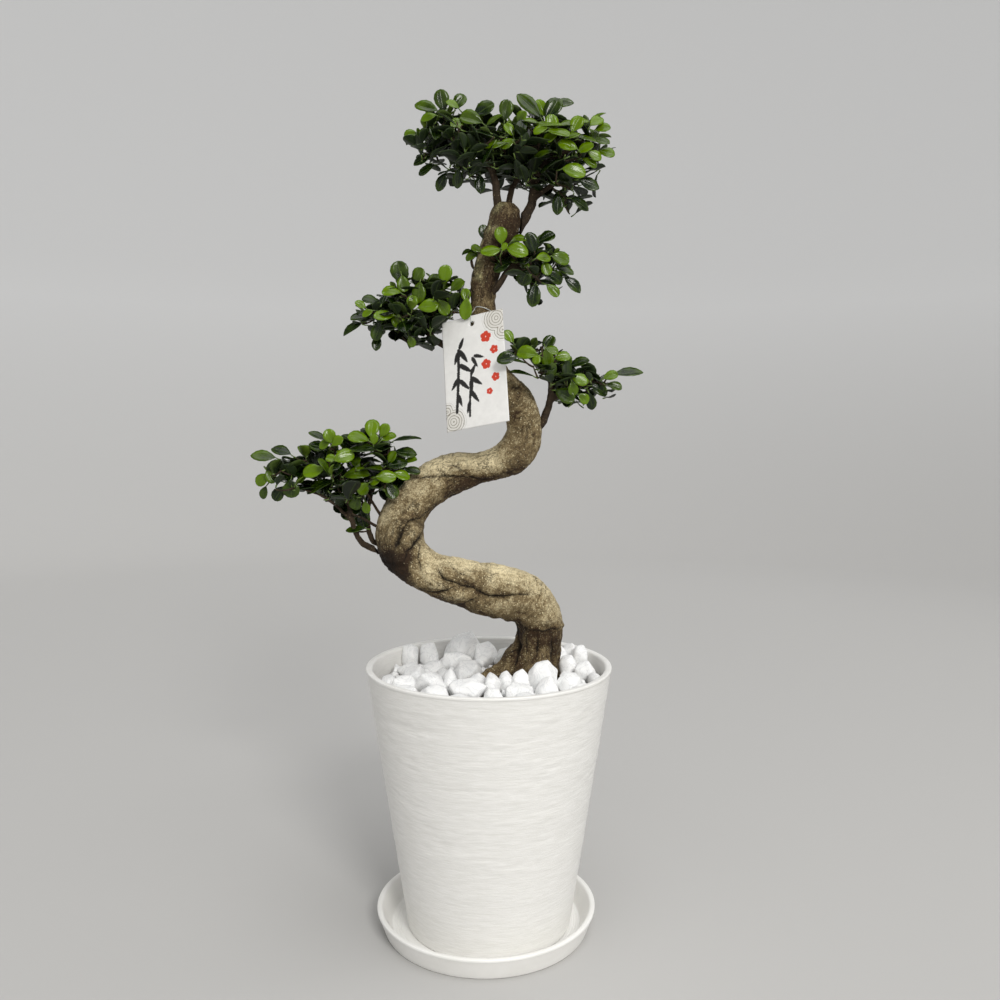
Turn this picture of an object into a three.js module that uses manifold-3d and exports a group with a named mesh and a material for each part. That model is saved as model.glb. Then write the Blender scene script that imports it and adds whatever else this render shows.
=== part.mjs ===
// A small-leaved banyan trained as an S-shaped bonsai, in a tall round pot on a saucer.
// Millimetres, +Z up, +Y away from the front. The origin is on the pot's axis, on the surface it stands on.

import * as THREE from 'three';
import { mergeVertices } from 'three/addons/utils/BufferGeometryUtils.js';
import { ConvexGeometry } from 'three/addons/geometries/ConvexGeometry.js';
import Module from 'manifold-3d';

const wasm = await Module();
wasm.setup();

// Driving dimensions
const gap = 0.3;               // between pieces that touch
const rimRadius = 123;         // outside of the pot's lip
const rimHeight = 269.4;       // top of the lip
const lipWidth = 6.8;
const lipDepth = 4;
const potFootRadius = 83;
const potTopRadius = 122;      // outside of the wall under the lip
const potWall = 3.6;
const potFootRing = 3.7;       // height of the ring under the raised bottom plate
const potPlate = 4;
const drainRadius = 5;
const drainCircle = 48;        // radius of the ring of drain holes
const saucerRadius = 111.2;
const saucerHeight = 22.8;
const saucerBaseRadius = 103.4;
const saucerFloor = 3.7;
const saucerFloorRadius = 95;
const saucerLip = 5;
const saucerShift = -3;        // the pot stands a little off the saucer's centre
const soilTop = 243;
const soilCrown = 3;
const tagWidth = 66;
const tagHeight = 110;
const tagThickness = 0.7;
const tagHoleRadius = 2.5;
const tagHoleDrop = 8;         // hole centre below the card's top edge
const threadRadius = 0.5;
const roundSides = 48;

const colours = {
  whitePlastic: 0xf1f0ee,
  soil: 0x3b2d22,
  bark: 0xa08d66,
  darkBark: 0x5b4a36,
  leaf: 0x2d5a22,
  marble: 0xf4f4f2,
  card: 0xf3f1ec,
  thread: 0xdfe3e3,
};

const materialOf = {
  whitePlastic: { roughness: 0.55, metalness: 0 },
  soil: { roughness: 0.95, metalness: 0 },
  bark: { roughness: 0.8, metalness: 0 },
  darkBark: { roughness: 0.85, metalness: 0 },
  leaf: { roughness: 0.35, metalness: 0 },
  marble: { roughness: 0.7, metalness: 0 },
  card: { roughness: 0.6, metalness: 0 },
  thread: { roughness: 0.2, metalness: 0 },
};

// A closed three.js geometry as a solid: welded, without the slivers that a pole leaves.
function solid(geometry) {
  const bare = geometry.clone();
  for (const name of Object.keys(bare.attributes)) {
    if (name !== 'position') {
      bare.deleteAttribute(name);
    }
  }
  const welded = mergeVertices(bare, 1e-4);
  const corners = welded.index.array;
  const kept = [];
  for (let i = 0; i < corners.length; i += 3) {
    const [a, b, c] = [corners[i], corners[i + 1], corners[i + 2]];
    if (a !== b && b !== c && c !== a) {
      kept.push(a, b, c);
    }
  }
  return new wasm.Manifold(new wasm.Mesh({
    numProp: 3,
    vertProperties: welded.attributes.position.array,
    triVerts: Uint32Array.from(kept),
  }));
}

function geometryOf(shape) {
  const mesh = shape.getMesh();
  const geometry = new THREE.BufferGeometry();
  geometry.setAttribute('position', new THREE.BufferAttribute(mesh.vertProperties, 3));
  geometry.setIndex(new THREE.BufferAttribute(mesh.triVerts, 1));
  return geometry;
}

function joined(shapes) {
  return shapes.reduce((whole, shape) => whole.add(shape));
}

function cutBy(shape, cutters) {
  return cutters.reduce((rest, cutter) => rest.subtract(cutter), shape);
}

// A profile of [radius, height] pairs turned round the Z axis: up the outside, then down the inside.
function turned(profile, sides = roundSides) {
  const points = profile.map(([radius, height]) => new THREE.Vector2(radius, height));
  return new THREE.LatheGeometry(points, sides).rotateX(Math.PI / 2);
}

function upright(radius, height, sides) {
  return new THREE.CylinderGeometry(radius, radius, height, sides).rotateX(Math.PI / 2);
}

// A limb follows [x, y, z, radius] rows. Two soft lobes wind round it, twist turns in all.
function limb(rows, { sides = 6, steps = 2 * rows.length - 2, grow = 0, lobes = 0, twist = 0 } = {}) {
  const points = rows.map(([x, y, z]) => new THREE.Vector3(x, y, z));
  const last = points.length - 1;
  if (grow > 0) {
    points[0].add(points[0].clone().sub(points[1]).setLength(grow));
    points[last].add(points[last].clone().sub(points[last - 1]).setLength(grow));
  }
  const path = new THREE.CatmullRomCurve3(points, false, 'catmullrom', 0.5);
  const radii = new THREE.CatmullRomCurve3(rows.map((row) => new THREE.Vector3(row[3], 0, 0)));
  const frames = path.computeFrenetFrames(steps, false);
  const geometry = new THREE.CylinderGeometry(1, 1, 1, sides, steps);
  const position = geometry.attributes.position;
  const vertex = new THREE.Vector3();
  const target = new THREE.Vector3();
  for (let i = 0; i < position.count; i += 1) {
    vertex.fromBufferAttribute(position, i);
    const step = Math.round((vertex.y + 0.5) * steps);
    const along = step / steps;
    const across = Math.atan2(vertex.z, vertex.x);
    const swell = 1 + lobes * Math.cos(2 * (across - twist * Math.PI * 2 * along));
    const radius = radii.getPoint(path.getUtoTmapping(along)).x * swell + grow;
    path.getPointAt(along, target);
    target.addScaledVector(frames.normals[step], vertex.x * radius);
    target.addScaledVector(frames.binormals[step], -vertex.z * radius);
    position.setXYZ(i, target.x, target.y, target.z);
  }
  return solid(geometry);
}

// The same random numbers on every run
function numbersFrom(seed) {
  let state = seed;
  return () => {
    state = (state * 1664525 + 1013904223) % 4294967296;
    return state / 4294967296;
  };
}

// Pot, saucer and soil

const potBase = saucerFloor + gap;
const plateTop = potBase + potFootRing + potPlate;
const lipBase = rimHeight - lipDepth;
const middleHeight = 130;
const wallSlope = (potTopRadius - potFootRadius) / (lipBase - potBase);

function wallRadius(height) {
  return potFootRadius + wallSlope * (height - potBase);
}

// The inside follows the wall up to the height where it meets the straight inside of the lip
const lipInner = rimRadius - lipWidth;
const lipUnderside = potBase + (lipInner + potWall - potFootRadius) / wallSlope;

function innerRadius(height) {
  return Math.min(wallRadius(height) - potWall, lipInner);
}

function potShape() {
  const footInner = potFootRadius - 2 * potWall;
  const lipRound = 2;
  const vessel = solid(turned([
    [0, plateTop - potPlate],
    [footInner, plateTop - potPlate],
    [footInner, potBase],
    [potFootRadius - 1, potBase],
    [potFootRadius, potBase + 1.5],
    [wallRadius(middleHeight), middleHeight],
    [potTopRadius, lipBase],
    [rimRadius, lipBase + 0.6],
    [rimRadius, rimHeight - lipRound],
    [rimRadius - lipRound, rimHeight],
    [lipInner + lipRound, rimHeight],
    [lipInner, rimHeight - lipRound],
    [lipInner, lipUnderside],
    [innerRadius(middleHeight), middleHeight],
    [innerRadius(plateTop), plateTop],
    [0, plateTop],
  ]));
  const drill = upright(drainRadius, 4 * plateTop, 16);
  const drains = [solid(drill)];
  for (let i = 0; i < 4; i += 1) {
    const angle = (i + 0.5) * Math.PI / 2;
    const place = [drainCircle * Math.cos(angle), drainCircle * Math.sin(angle), 0];
    drains.push(solid(drill.clone().translate(...place)));
  }
  return cutBy(vessel, drains);
}

function saucerShape() {
  const inner = saucerRadius - saucerLip;
  return solid(turned([
    [0, 0],
    [saucerBaseRadius - 1.5, 0],
    [saucerBaseRadius, 1.5],
    [saucerRadius - 1.2, saucerHeight - 4],
    [saucerRadius, saucerHeight - 3],
    [saucerRadius, saucerHeight - 1.2],
    [saucerRadius - 1.4, saucerHeight],
    [inner + 1.4, saucerHeight],
    [inner, saucerHeight - 1.4],
    [saucerFloorRadius + 2.5, saucerFloor + 2],
    [saucerFloorRadius, saucerFloor],
    [0, saucerFloor],
  ]).translate(saucerShift, 0, 0));
}

const soilShoulder = 70;       // the crown falls away outside this radius

function soilShape() {
  return solid(turned([
    [0, plateTop + gap],
    [innerRadius(plateTop) - gap, plateTop + gap],
    [innerRadius(middleHeight) - gap, middleHeight],
    [innerRadius(soilTop) - gap, soilTop],
    [soilShoulder, soilTop + soilCrown * 0.7],
    [0, soilTop + soilCrown],
  ]));
}

// The trunk, from its foot in the soil to the sawn top: [x, y, z, radius]
const trunkRows = [
  [34, 22, 222, 34],
  [40, 22, 254, 31.5],
  [49, 21, 281, 26.6],
  [51, 17, 307, 25.8],
  [42, 9, 327, 25.8],
  [25, -1, 339, 25.9],
  [8, -9, 345, 25.6],
  [-10, -15, 349, 23.6],
  [-33, -20, 357, 21.5],
  [-56, -17, 363, 21],
  [-74, -10, 374, 22.5],
  [-87, -1, 390, 25],
  [-89, 7, 410, 23.5],
  [-77, 14, 432, 20.5],
  [-58, 19, 449, 20.3],
  [-36, 21, 460, 20.8],
  [-14, 20, 464, 18],
  [6, 15, 470, 16.6],
  [22, 9, 478, 19],
  [33, 4, 493, 18],
  [35, 0, 514, 16.4],
  [28, -2, 532, 15.6],
  [12, -3, 551, 14.4],
  [0, -1, 571, 13.3],
  [-5, 1, 595, 12.6],
  [-6, 3, 625, 12],
  [-4, 3, 650, 12.2],
  [4, 2, 676, 13.8],
  [13, 0, 697, 16],
  [16, 0, 713, 15.8],
  [16, 0, 724, 13],
];

// Buttress roots that spread from the trunk's foot: [x, y, z, radius]
const rootRows = [
  [[50, 16, 289, 14], [34, 8, 273, 14], [14, 3, 259, 12], [-7, 0, 249, 9], [-24, -2, 238, 6]],
  [[50, 8, 285, 13], [49, -5, 263, 14], [46, -16, 246, 12], [43, -26, 232, 8]],
  [[56, 28, 285, 12], [60, 41, 263, 12], [65, 52, 246, 10], [70, 61, 232, 6]],
  [[44, 32, 285, 13], [34, 48, 263, 13], [22, 60, 246, 10], [12, 68, 232, 6]],
];

function trunkShape(grow = 0) {
  const stem = limb(trunkRows, { sides: 14, steps: 62, lobes: 0.06, twist: 2.6, grow });
  const roots = rootRows.map((rows) => limb(rows, { sides: 8, grow }));
  return joined([stem, ...roots]);
}

// Branches: each node is a limb with its forks, in [x, y, z, radius] rows
const branchRows = {
  branch_low_left: [
    [[-98, 2, 382, 6], [-120, -4, 388, 5], [-130, -8, 399, 4.6], [-135, -8, 415, 4.4],
      [-140, -6, 437, 3.8], [-149, -2, 457, 3.2], [-157, 0, 472, 2.4]],
    [[-134, -8, 412, 3.4], [-145, -14, 426, 3.2], [-161, -16, 439, 2.8], [-181, -14, 446, 2.4],
      [-198, -10, 454, 2]],
    [[-138, -6, 432, 2.6], [-146, -18, 446, 2.4], [-150, -30, 460, 2]],
  ],
  branch_low_left_rear: [
    [[-98, 6, 388, 5], [-115, 6, 391, 4.2], [-121, 8, 404, 3.8], [-122, 12, 424, 3.4],
      [-117, 14, 444, 3], [-106, 12, 464, 2.4]],
    [[-122, 11, 420, 2.6], [-132, 20, 440, 2.4], [-138, 28, 462, 2]],
  ],
  branch_mid_left: [
    [[-4, 8, 577, 6], [-24, 10, 582, 5], [-44, 10, 588, 4.6], [-58, 6, 597, 4.2],
      [-68, 2, 610, 3.6], [-82, -2, 619, 3], [-101, -2, 622, 2.2]],
    [[-57, 6, 596, 3.2], [-55, 6, 613, 3], [-51, 8, 630, 2.6], [-44, 8, 640, 2]],
    [[-70, 1, 611, 2.6], [-80, 14, 622, 2.4], [-88, 24, 632, 2]],
  ],
  branch_upper_left: [
    [[0, 2, 655, 3.4], [-14, 1, 661, 2.6], [-17, 0, 671, 2]],
  ],
  branch_upper_right: [
    [[-4, 2, 634, 5], [8, -4, 642, 4.4], [14, -6, 651, 4], [22, -8, 662, 3.6],
      [34, -8, 668, 3], [52, -4, 669, 2.2]],
    [[22, -8, 662, 2.8], [36, -12, 657, 2.4], [50, -12, 648, 2]],
    [[24, -7, 662, 2.8], [36, 6, 668, 2.4], [46, 18, 674, 2]],
  ],
  branch_lower_right: [
    [[36, 2, 498, 6], [51, 0, 509, 5], [57, -2, 521, 4.6], [60, -4, 532, 4.2],
      [61, -6, 548, 3.6], [56, -8, 563, 3], [47, -8, 576, 2.2]],
    [[60, -4, 532, 3.4], [72, -6, 540, 3], [88, -7, 547, 2.6], [106, -5, 553, 2]],
    [[60, -2, 538, 2.8], [66, 10, 550, 2.4], [70, 20, 562, 2]],
  ],
  branch_top_left: [
    [[12, -2, 708, 6], [8, -6, 732, 5], [4, -8, 752, 4.4], [-10, -6, 770, 3.8],
      [-31, -4, 782, 3], [-52, -2, 790, 2.2]],
    [[5, -7, 746, 3], [-4, -20, 764, 2.6], [-18, -30, 778, 2]],
    [[-4, -7, 765, 3], [-8, 10, 780, 2.6], [-14, 26, 794, 2]],
  ],
  branch_top_middle: [
    [[19, 3, 712, 4.4], [21, 6, 735, 3.8], [30, 10, 752, 3.4], [36, 14, 768, 2.8],
      [38, 18, 786, 2]],
    [[30, 10, 752, 2.6], [26, 22, 768, 2.4], [16, 32, 782, 2]],
  ],
  branch_top_right: [
    [[22, 2, 698, 6], [40, 2, 718, 5.4], [44, 2, 735, 5], [47, 1, 752, 4.4],
      [60, 0, 765, 3.6], [82, -2, 775, 2.4]],
    [[43, 2, 727, 3.6], [56, -2, 737, 3.2], [70, -4, 745, 2.8], [82, -4, 756, 2.2]],
    [[48, 1, 753, 3], [54, 16, 768, 2.6], [58, 30, 784, 2]],
    [[47, 1, 750, 3], [46, -14, 766, 2.6], [50, -26, 780, 2]],
  ],
};

function branchShape(name, grow = 0) {
  return joined(branchRows[name].map((rows) => limb(rows, { grow })));
}

// Heads of leaves: clumps of [x, y, z, radius across, radius in depth, radius up]
const foliageRows = {
  foliage_low_left: [
    [-198, -6, 464, 34, 30, 24],
    [-170, 10, 470, 34, 40, 26],
    [-142, -22, 462, 32, 34, 29],
    [-138, 26, 480, 30, 34, 25],
    [-117, 0, 491, 25, 32, 23],
    [-97, 10, 474, 24, 28, 20],
    [-99, -12, 452, 24, 26, 18],
    [-134, 0, 428, 20, 22, 20],
    [-176, -26, 452, 26, 22, 16],
  ],
  foliage_mid_left: [
    [-114, 0, 617, 27, 30, 21],
    [-86, -8, 638, 22, 28, 23],
    [-82, -22, 614, 26, 24, 22],
    [-56, 4, 640, 27, 32, 24],
    [-60, 16, 614, 26, 24, 18],
    [-28, 6, 638, 14, 18, 19],
    [-84, 26, 628, 28, 26, 21],
  ],
  foliage_upper_left: [
    [-14, -2, 675, 11, 11, 8],
  ],
  foliage_upper_right: [
    [16, -18, 683, 23, 20, 12],
    [40, -8, 680, 24, 28, 19],
    [64, 0, 666, 24, 28, 23],
    [51, -14, 648, 18, 20, 17],
    [48, 22, 672, 26, 24, 18],
  ],
  foliage_lower_right: [
    [36, -12, 583, 24, 26, 16],
    [58, -22, 570, 26, 26, 21],
    [66, 20, 562, 27, 28, 22],
    [86, -8, 556, 27, 32, 23],
    [110, -2, 553, 24, 26, 19],
    [74, -12, 538, 20, 20, 12],
    [132, -4, 561, 17, 12, 6],
  ],
  foliage_top: [
    [-52, 0, 801, 28, 34, 24],
    [-58, -6, 775, 24, 30, 23],
    [-20, -32, 784, 32, 34, 30],
    [-18, 4, 762, 30, 38, 24],
    [11, 36, 789, 38, 38, 34],
    [16, -36, 774, 35, 34, 28],
    [50, -12, 797, 35, 40, 26],
    [86, -10, 784, 34, 36, 29],
    [70, 20, 758, 34, 36, 27],
    [34, 0, 766, 32, 40, 23],
    [102, 4, 768, 22, 30, 27],
    [-14, 30, 798, 34, 34, 27],
    [58, 32, 784, 38, 36, 29],
    [70, -34, 764, 30, 26, 24],
  ],
};

function foliageShape(name) {
  return joined(foliageRows[name].map(([x, y, z, across, deep, up]) => {
    const clump = new THREE.IcosahedronGeometry(1, 1);
    return solid(clump.scale(across, deep, up).translate(x, y, z));
  }));
}

// Stones bedded in the soil, the ones that show first: [x, y, top, width, depth, turn in degrees]
const stoneRows = [
  [-30, 86, 281, 40, 26, 8],
  [-86, 70, 272, 19, 20, 20],
  [-66, 78, 272, 19, 20, -10],
  [-6, 80, 272, 26, 24, 30],
  [-36, 58, 266, 34, 26, 12],
  [-60, 40, 261, 25, 23, -20],
  [-83, 34, 260, 22, 24, 40],
  [-100, -8, 259, 17, 26, 0],
  [-84, -26, 263, 26, 22, 15],
  [-76, 4, 266, 25, 24, -30],
  [-57, -28, 267, 28, 26, 35],
  [-38, -22, 269, 15, 24, 5],
  [-22, 18, 267, 28, 26, 10],
  [-20, -48, 267, 37, 28, -8],
  [-12, -14, 263, 20, 20, 25],
  [3, -30, 267, 17, 24, -15],
  [16, -26, 268, 15, 20, 10],
  [32, -29, 270, 21, 20, 20],
  [30, -54, 264, 28, 22, -10],
  [54, -30, 279, 29, 26, 15],
  [57, -52, 269, 24, 22, -20],
  [79, -32, 267, 27, 24, 10],
  [82, 30, 270, 20, 24, -20],
  [76, 58, 272, 19, 22, 15],
  [88, 74, 273, 20, 18, -10],
  [98, 54, 274, 22, 22, 25],
  [98, 13, 267, 21, 24, 5],
  [106, -10, 262, 13, 20, 20],
  [5, -63, 261, 18, 20, 0],
  [-50, -62, 263, 28, 26, 40],
  [-28, -86, 262, 27, 24, 12],
  [2, -88, 260, 26, 22, -25],
  [34, -80, 261, 27, 22, 20],
  [66, -76, 262, 27, 24, -35],
  [91, -50, 262, 23, 24, 30],
  [-80, -54, 261, 26, 22, 5],
  [18, 74, 267, 27, 23, 20],
  [54, 88, 270, 28, 22, 5],
  [-46, 6, 259, 23, 22, 0],
];
const stonePoints = 18;
const stoneBed = 2;            // depth that a stone's rough underside reaches into the soil
const stoneGrow = 1.045;       // leaves a gap of 0.3 or more round a stone of this size
const goldenAngle = Math.PI * (3 - Math.sqrt(5));

// A broken stone: the hull of points strewn over a ball, brought to its size and turned about Z
function stoneHull([x, y, top, width, depth, turn], index, scale = 1) {
  const next = numbersFrom(71 + index * 37);
  const points = [];
  for (let i = 0; i < stonePoints; i += 1) {
    const up = 1 - 2 * (i + 0.5) / stonePoints;
    const around = i * goldenAngle + next() * 0.9;
    const level = Math.sqrt(1 - up * up);
    const reach = 0.82 + next() * 0.3;
    points.push(new THREE.Vector3(
      level * Math.cos(around) * reach,
      level * Math.sin(around) * reach,
      up * reach,
    ));
  }
  const hull = new ConvexGeometry(points).rotateY((next() - 0.5) * 0.5);
  hull.computeBoundingBox();
  const size = hull.boundingBox.getSize(new THREE.Vector3());
  const centre = hull.boundingBox.getCenter(new THREE.Vector3());
  const height = top - soilTop + stoneBed;
  return hull.translate(-centre.x, -centre.y, -centre.z)
    .scale(scale * width / size.x, scale * depth / size.y, scale * height / size.z)
    .rotateZ(THREE.MathUtils.degToRad(turn))
    .translate(x, y, top - height / 2);
}

function stoneShapes(trunk) {
  const highest = rimHeight + 60;              // above every stone
  const headspace = solid(turned([
    [0, soilTop + soilCrown + gap],
    [soilShoulder, soilTop + soilCrown * 0.7 + gap],
    [innerRadius(soilTop) - gap, soilTop + gap],
    [lipInner - gap, lipUnderside],
    [lipInner - gap, highest],
    [0, highest],
  ]));
  const placed = [];
  return stoneRows.map((row, index) => {
    const rough = solid(stoneHull(row, index)).intersect(headspace);
    const stone = cutBy(rough, [trunk, ...placed]);
    placed.push(solid(stoneHull(row, index, stoneGrow)));
    return stone;
  });
}

// The card hangs by its hole from a thread loop round the upper trunk
const { degToRad } = THREE.MathUtils;
const tagCentre = new THREE.Vector3(-13, -32, 560.4);
const tagTurn = new THREE.Euler(degToRad(-12), degToRad(-9.5), degToRad(-25), 'ZYX');

function tagShape(thickness) {
  const card = new THREE.Shape();
  const corner = 1.2;
  const [right, top] = [tagWidth / 2, tagHeight / 2];
  card.moveTo(-right + corner, -top);
  card.lineTo(right - corner, -top);
  card.lineTo(right, -top + corner);
  card.lineTo(right, top - corner);
  card.lineTo(right - corner, top);
  card.lineTo(-right + corner, top);
  card.lineTo(-right, top - corner);
  card.lineTo(-right, -top + corner);
  card.closePath();
  const hole = new THREE.Path();
  hole.absarc(0, top - tagHoleDrop, tagHoleRadius, 0, Math.PI * 2, true);
  card.holes.push(hole);
  const flat = { depth: thickness, bevelEnabled: false, curveSegments: 10 };
  const board = new THREE.ExtrudeGeometry(card, flat);
  return solid(board.translate(0, 0, -thickness / 2).rotateX(Math.PI / 2));
}

function placedTag(thickness) {
  const place = new THREE.Matrix4().makeRotationFromEuler(tagTurn).setPosition(tagCentre);
  return solid(geometryOf(tagShape(thickness)).applyMatrix4(place));
}

function threadShape() {
  const onTag = (x, y, z) => new THREE.Vector3(x, y, z).applyEuler(tagTurn).add(tagCentre);
  const seat = tagHeight / 2 - tagHoleDrop + tagHoleRadius - threadRadius - gap;
  const [trunkX, trunkY] = [-6, 3];
  const reach = 12.9 + threadRadius;           // clear of the trunk's lobes at this height
  const onTrunk = (degrees, z) => new THREE.Vector3(
    trunkX + reach * Math.cos(degToRad(degrees)),
    trunkY + reach * Math.sin(degToRad(degrees)),
    z,
  );
  const points = [
    onTag(0, 0, seat),
    onTag(0.4, -1.9, seat + 0.6),
    onTag(1.8, -2.2, seat + 5),
    onTag(3.4, -1, seat + 8.6),
    onTrunk(-50, 619),
    onTrunk(-10, 623),
    onTrunk(40, 625),
    onTrunk(90, 625),
    onTrunk(140, 624),
    onTrunk(190, 621),
    onTrunk(235, 616),
    onTag(-1.4, 4.8, seat + 4),
    onTag(-0.4, 1.9, seat + 0.6),
  ];
  const loop = new THREE.CatmullRomCurve3(points, true, 'catmullrom', 0.5);
  return solid(new THREE.TubeGeometry(loop, 48, threadRadius, 5, true));
}

// The object

const tree = new THREE.Group();

function addPiece(name, finish, geometry) {
  const material = new THREE.MeshStandardMaterial({ color: colours[finish], ...materialOf[finish] });
  const mesh = new THREE.Mesh(geometry, material);
  mesh.name = name;
  tree.add(mesh);
  return mesh;
}

const trunk = trunkShape();
const trunkClearance = trunkShape(gap);
const tagClearance = placedTag(tagThickness + 4 * gap);
const thread = threadShape();

addPiece('saucer', 'whitePlastic', geometryOf(saucerShape()));
addPiece('pot', 'whitePlastic', geometryOf(potShape()));
addPiece('soil', 'soil', geometryOf(soilShape().subtract(trunkClearance)));
addPiece('trunk', 'bark', geometryOf(trunk));

const branchClearances = [];
for (const name of Object.keys(branchRows)) {
  const branch = cutBy(branchShape(name), [trunkClearance, ...branchClearances]);
  addPiece(name, 'darkBark', geometryOf(branch));
  branchClearances.push(branchShape(name, gap));
}

for (const name of Object.keys(foliageRows)) {
  const clear = [trunkClearance, tagClearance, ...branchClearances];
  addPiece(name, 'leaf', geometryOf(cutBy(foliageShape(name), clear)));
}

stoneShapes(trunkClearance).forEach((stone, index) => {
  addPiece(`stone_${String(index + 1).padStart(2, '0')}`, 'marble', geometryOf(stone));
});

const tag = addPiece('tag', 'card', geometryOf(tagShape(tagThickness)));
tag.position.copy(tagCentre);
tag.rotation.copy(tagTurn);
addPiece('tag_tie', 'thread', geometryOf(thread));

export default tree;
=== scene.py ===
import math

import bmesh
import bpy
import numpy as np
from mathutils import Euler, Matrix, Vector, noise


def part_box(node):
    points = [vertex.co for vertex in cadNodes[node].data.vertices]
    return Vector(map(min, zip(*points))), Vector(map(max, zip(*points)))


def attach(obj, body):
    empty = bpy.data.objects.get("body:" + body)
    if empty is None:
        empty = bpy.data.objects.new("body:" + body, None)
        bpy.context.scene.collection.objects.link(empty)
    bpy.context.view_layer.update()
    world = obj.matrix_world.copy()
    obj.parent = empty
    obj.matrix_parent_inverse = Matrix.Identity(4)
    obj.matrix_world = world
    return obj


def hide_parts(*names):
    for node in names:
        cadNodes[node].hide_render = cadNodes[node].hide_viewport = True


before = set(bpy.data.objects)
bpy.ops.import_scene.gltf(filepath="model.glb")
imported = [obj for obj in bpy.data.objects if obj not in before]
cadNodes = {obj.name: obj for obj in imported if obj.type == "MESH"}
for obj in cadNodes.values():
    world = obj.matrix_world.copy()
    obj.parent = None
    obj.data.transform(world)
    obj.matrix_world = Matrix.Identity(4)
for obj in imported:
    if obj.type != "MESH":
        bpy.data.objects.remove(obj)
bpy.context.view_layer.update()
mm = 0.001

# Camera, fitted to the ellipses of the pot's lip and the saucer

view = {
    "place": (11.2, -917, 506),    # mm
    "down": math.radians(4.45),    # below level
    "lens": 33.26,
    "sensor": 36,
    "picture": 1000,               # pixels across and up
}
focus = view["lens"] / view["sensor"] * view["picture"]
downSin, downCos = math.sin(view["down"]), math.cos(view["down"])


def atPixel(u, v, y):
    # the point, in metres, that shows at pixel u, v and lies at depth y in mm
    across = (u - view["picture"] / 2) / focus
    up = (view["picture"] / 2 - v) / focus
    reach = (y - view["place"][1]) / (downCos + up * downSin)
    rise = (up * downCos - downSin) * reach
    return Vector((view["place"][0] + across * reach, y, view["place"][2] + rise)) * mm


def toPixel(points):
    # where points, in metres, show in the picture
    away = np.asarray(points) / mm - np.array(view["place"])
    depth = away[..., 1] * downCos - away[..., 2] * downSin
    up = away[..., 1] * downSin + away[..., 2] * downCos
    middle = view["picture"] / 2
    return np.stack([middle + focus * away[..., 0] / depth, middle - focus * up / depth], -1)


def addObject(name, data):
    made = bpy.data.objects.new(name, data)
    bpy.context.scene.collection.objects.link(made)
    return made


def addCamera():
    data = bpy.data.cameras.new("camera")
    data.lens = view["lens"]
    data.sensor_width = view["sensor"]
    data.clip_start = 0.05
    data.clip_end = 60
    camera = addObject("camera", data)
    camera.location = Vector(view["place"]) * mm
    camera.rotation_euler = (math.pi / 2 - view["down"], 0, 0)
    bpy.context.scene.camera = camera


addCamera()
print("camera placed")

# Small tools for meshes


def addMesh(name, points, faces, materials):
    data = bpy.data.meshes.new(name)
    data.from_pydata(np.asarray(points, float).tolist(), [], faces)
    for material in materials:
        data.materials.append(material)
    data.shade_smooth()
    return addObject(name, data)


def vectorsOf(layer, field, kind):
    flat = np.empty(len(layer) * 3, kind)
    layer.foreach_get(field, flat)
    return flat.reshape(-1, 3)


def pointsOf(piece):
    return vectorsOf(piece.data.vertices, "co", float)


def normalsOf(piece):
    return vectorsOf(piece.data.vertex_normals, "vector", np.float32)


def movePoints(piece, points):
    piece.data.vertices.foreach_set("co", np.asarray(points, float).ravel())
    piece.data.update()


def setValues(piece, name, values):
    # three numbers for each point of the mesh, for the shader to read
    layer = piece.data.attributes.new(name, "FLOAT_VECTOR", "POINT")
    layer.data.foreach_set("vector", np.asarray(values, np.float32).ravel())


def noiseAt(points, size, seed):
    # smooth noise from about -1 to 1; size is one lump in metres, or three sizes for the three axes
    shift = Vector((seed * 7.31 + 0.5, seed * 3.17, seed * 5.71))
    scaled = np.asarray(points, float) / np.asarray(size, float)
    return np.array([noise.noise(Vector(p) + shift) for p in scaled.tolist()])


def layered(points, layers):
    # noise of several sizes added up; a layer is its size in metres, its seed and its height
    return sum(noiseAt(points, size, seed) * height for size, seed, height in layers)


def near(gap, radius):
    # 1 at a gap of 0, falling softly to 0 beyond the radius
    return np.exp(-(gap / radius) ** 2)


def remeshed(piece, material, voxel, smoothing):
    # one even skin, with a voxel in mm, over everything in the piece, then smoothed
    skin = piece.modifiers.new("skin", "REMESH")
    skin.mode = "VOXEL"
    skin.voxel_size = voxel * mm
    even = piece.modifiers.new("even", "SMOOTH")
    even.factor = 0.5
    even.iterations = smoothing
    graph = bpy.context.evaluated_depsgraph_get()
    shape = bpy.data.meshes.new_from_object(piece.evaluated_get(graph))
    piece.modifiers.clear()
    piece.data = shape
    shape.shade_smooth()
    shape.materials.clear()
    shape.materials.append(material)
    return piece


def curveThrough(rows, count):
    # a smooth line through the rows, whatever their columns are
    rows = np.asarray(rows, float)
    padded = np.vstack([2 * rows[0] - rows[1], rows, 2 * rows[-1] - rows[-2]])
    place = np.linspace(0, len(rows) - 1, count)
    first = np.minimum(place.astype(int), len(rows) - 2)
    t = (place - first)[:, None]
    a, b, c, d = (padded[first + k] for k in range(4))
    return 0.5 * (2 * b + (c - a) * t + (2 * a - 5 * b + 4 * c - d) * t ** 2
                  + (3 * b - 3 * c + d - a) * t ** 3)


def bowed(start, bend, end, count):
    # a line from start to end, drawn towards the bend
    share = np.linspace(0, 1, count)[:, None]
    return start * (1 - share) ** 2 + 2 * bend * share * (1 - share) + end * share ** 2


def framesAlong(line):
    # the side and the up direction at each point, turning as little as possible
    ahead = np.gradient(line, axis=0)
    ahead /= np.linalg.norm(ahead, axis=1)[:, None]
    side = np.cross(ahead[0], (0.3, 1, 0.2))
    sides = []
    for direction in ahead:
        side = side - direction * np.dot(side, direction)
        side = side / np.linalg.norm(side)
        sides.append(side)
    return np.array(sides), np.cross(ahead, sides)


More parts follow.
